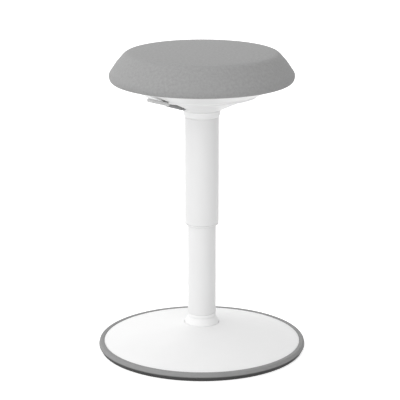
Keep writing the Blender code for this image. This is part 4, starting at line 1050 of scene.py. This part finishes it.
@dataclass
class Studio:
    """Pale floor, soft light from the front left and the camera of the photo."""

    camera_place: tuple[float, float, float] = (-0.0033, -2.965, 1.066)
    camera_pitch: float = math.radians(15.0)
    lens_mm: float = 156.5
    sensor_mm: float = 36.0
    aim_height: float = 0.3
    sky_level: float = 0.69
    sky_front: tuple[float, float, float] = (-0.52, -0.67, -0.08)
    sky_back: tuple[float, float, float] = (0.08, 1.20, 0.17)
    floor_colour: tuple[float, float, float] = (0.80, 0.80, 0.80)
    floor_glow: float = 0.65
    floor_half: float = 9.0
    floor_level: float = -0.0005
    floor_points: int = 7
    lamp_place: tuple[float, float, float] = (-2.2, -2.4, 2.0)
    lamp_size: float = 2.4
    lamp_watts: float = 5.0

    def build(self) -> None:
        """Sets up the floor, the world, the lamp and the camera."""
        scene = bpy.context.scene
        scene.view_settings.view_transform = "Standard"
        self.floor()
        self.world()
        self.lamp()
        self.camera()

    def floor(self) -> None:
        """A wide flat grid under the stool, whose white comes from a glow that only the eye and gloss see."""
        line = np.linspace(-self.floor_half, self.floor_half, self.floor_points)
        x, y = np.meshgrid(line, line, indexing="ij")
        points = np.stack([x, y, 0 * x + self.floor_level], axis=-1).reshape(-1, 3)
        quads = grid_quads(self.floor_points, self.floor_points, False, False)
        floor = Surface(points, quads).mesh_object("studio_floor", closed=False)
        bench = NodeBench(bpy.data.materials.new("studio_floor"))
        bench.feed(bench.shader, Base_Color=(*self.floor_colour, 1.0), Roughness=0.9)
        bench.shader.inputs["Specular IOR Level"].default_value = 0.0
        glow = bench.add("ShaderNodeEmission")
        bench.links.new(seen_rays(bench, self.floor_glow), glow.inputs["Strength"])
        both = bench.add("ShaderNodeAddShader")
        bench.links.new(bench.shader.outputs[0], both.inputs[0])
        bench.links.new(glow.outputs[0], both.inputs[1])
        bench.links.new(both.outputs[0], bench.nodes["Material Output"].inputs["Surface"])
        floor.data.materials.append(bench.owner)

    def world(self) -> None:
        """White to the eye; to all else a soft light: level + front . d + max(0, back . d) in direction d."""
        world = bpy.data.worlds.new("studio_world")
        bpy.context.scene.world = world
        bench = NodeBench(world, "Background")
        direction = bench.add("ShaderNodeTexCoord").outputs["Generated"]
        slopes = []
        for way in (self.sky_front, self.sky_back):
            slope = bench.add("ShaderNodeVectorMath", operation="DOT_PRODUCT")
            slope.inputs[1].default_value = way
            bench.links.new(direction, slope.inputs[0])
            slopes.append(slope.outputs["Value"])
        back = bench.math("MAXIMUM", slopes[1], 0.0)
        level = bench.math("ADD", bench.math("ADD", slopes[0], self.sky_level), back)
        path = bench.add("ShaderNodeLightPath").outputs
        seen = bench.math("MAXIMUM", path["Is Camera Ray"], path["Is Transmission Ray"])
        strength = bench.add("ShaderNodeMix")
        bench.feed(strength, Factor=seen, A=bench.math("MAXIMUM", level, 0.0), B=1.0)
        bench.feed(bench.shader, Color=(1.0, 1.0, 1.0, 1.0), Strength=strength.outputs["Result"])

    def lamp(self) -> None:
        """A square area lamp aimed at the middle of the stool."""
        data = bpy.data.lights.new("key_lamp", "AREA")
        data.size = self.lamp_size
        data.energy = self.lamp_watts
        lamp = bpy.data.objects.new("key_lamp", data)
        bpy.context.scene.collection.objects.link(lamp)
        lamp.location = self.lamp_place
        aim = np.array([0.0, 0.0, self.aim_height]) - np.array(self.lamp_place)
        flat = math.hypot(aim[0], aim[1])
        lamp.rotation_euler = (math.atan2(flat, -aim[2]), 0.0, math.atan2(-aim[0], aim[1]))

    def camera(self) -> None:
        """The camera that sees the stool as the photo does."""
        data = bpy.data.cameras.new("photo_camera")
        data.sensor_width = self.sensor_mm
        data.lens = self.lens_mm
        camera = bpy.data.objects.new("photo_camera", data)
        bpy.context.scene.collection.objects.link(camera)
        camera.location = self.camera_place
        camera.rotation_euler = (math.pi / 2 - self.camera_pitch, 0.0, 0.0)
        bpy.context.scene.camera = camera


def seen_rays(bench: NodeBench, strength: float) -> Socket:
    """A strength for rays from the camera and for mirror and glass rays, and none for the rest."""
    path = bench.add("ShaderNodeLightPath")
    gloss = bench.math("MAXIMUM", path.outputs["Is Glossy Ray"], path.outputs["Is Transmission Ray"])
    seen = bench.math("MAXIMUM", path.outputs["Is Camera Ray"], gloss)
    return bench.math("MULTIPLY", seen, strength)


def dress_nodes() -> None:
    """Gives every CAD node the finish of its record slot."""
    for part in frame["record"]["subparts"]:
        node = frame["nodes"][part["node"]]
        node.data.materials.clear()
        node.data.materials.append(FINISHES[part["material_slot"]].material())


def main() -> None:
    """Builds the stool's looks in order, from the base up."""
    logging.basicConfig(level=logging.INFO, format="%(name)s: %(message)s")
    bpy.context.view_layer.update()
    dress_nodes()
    for part in (Base(), Column(), Sleeve(), SeatPan(), Cushion(), LeverGrip(), Studio()):
        part.build()


if __name__ == "__main__":
    main()
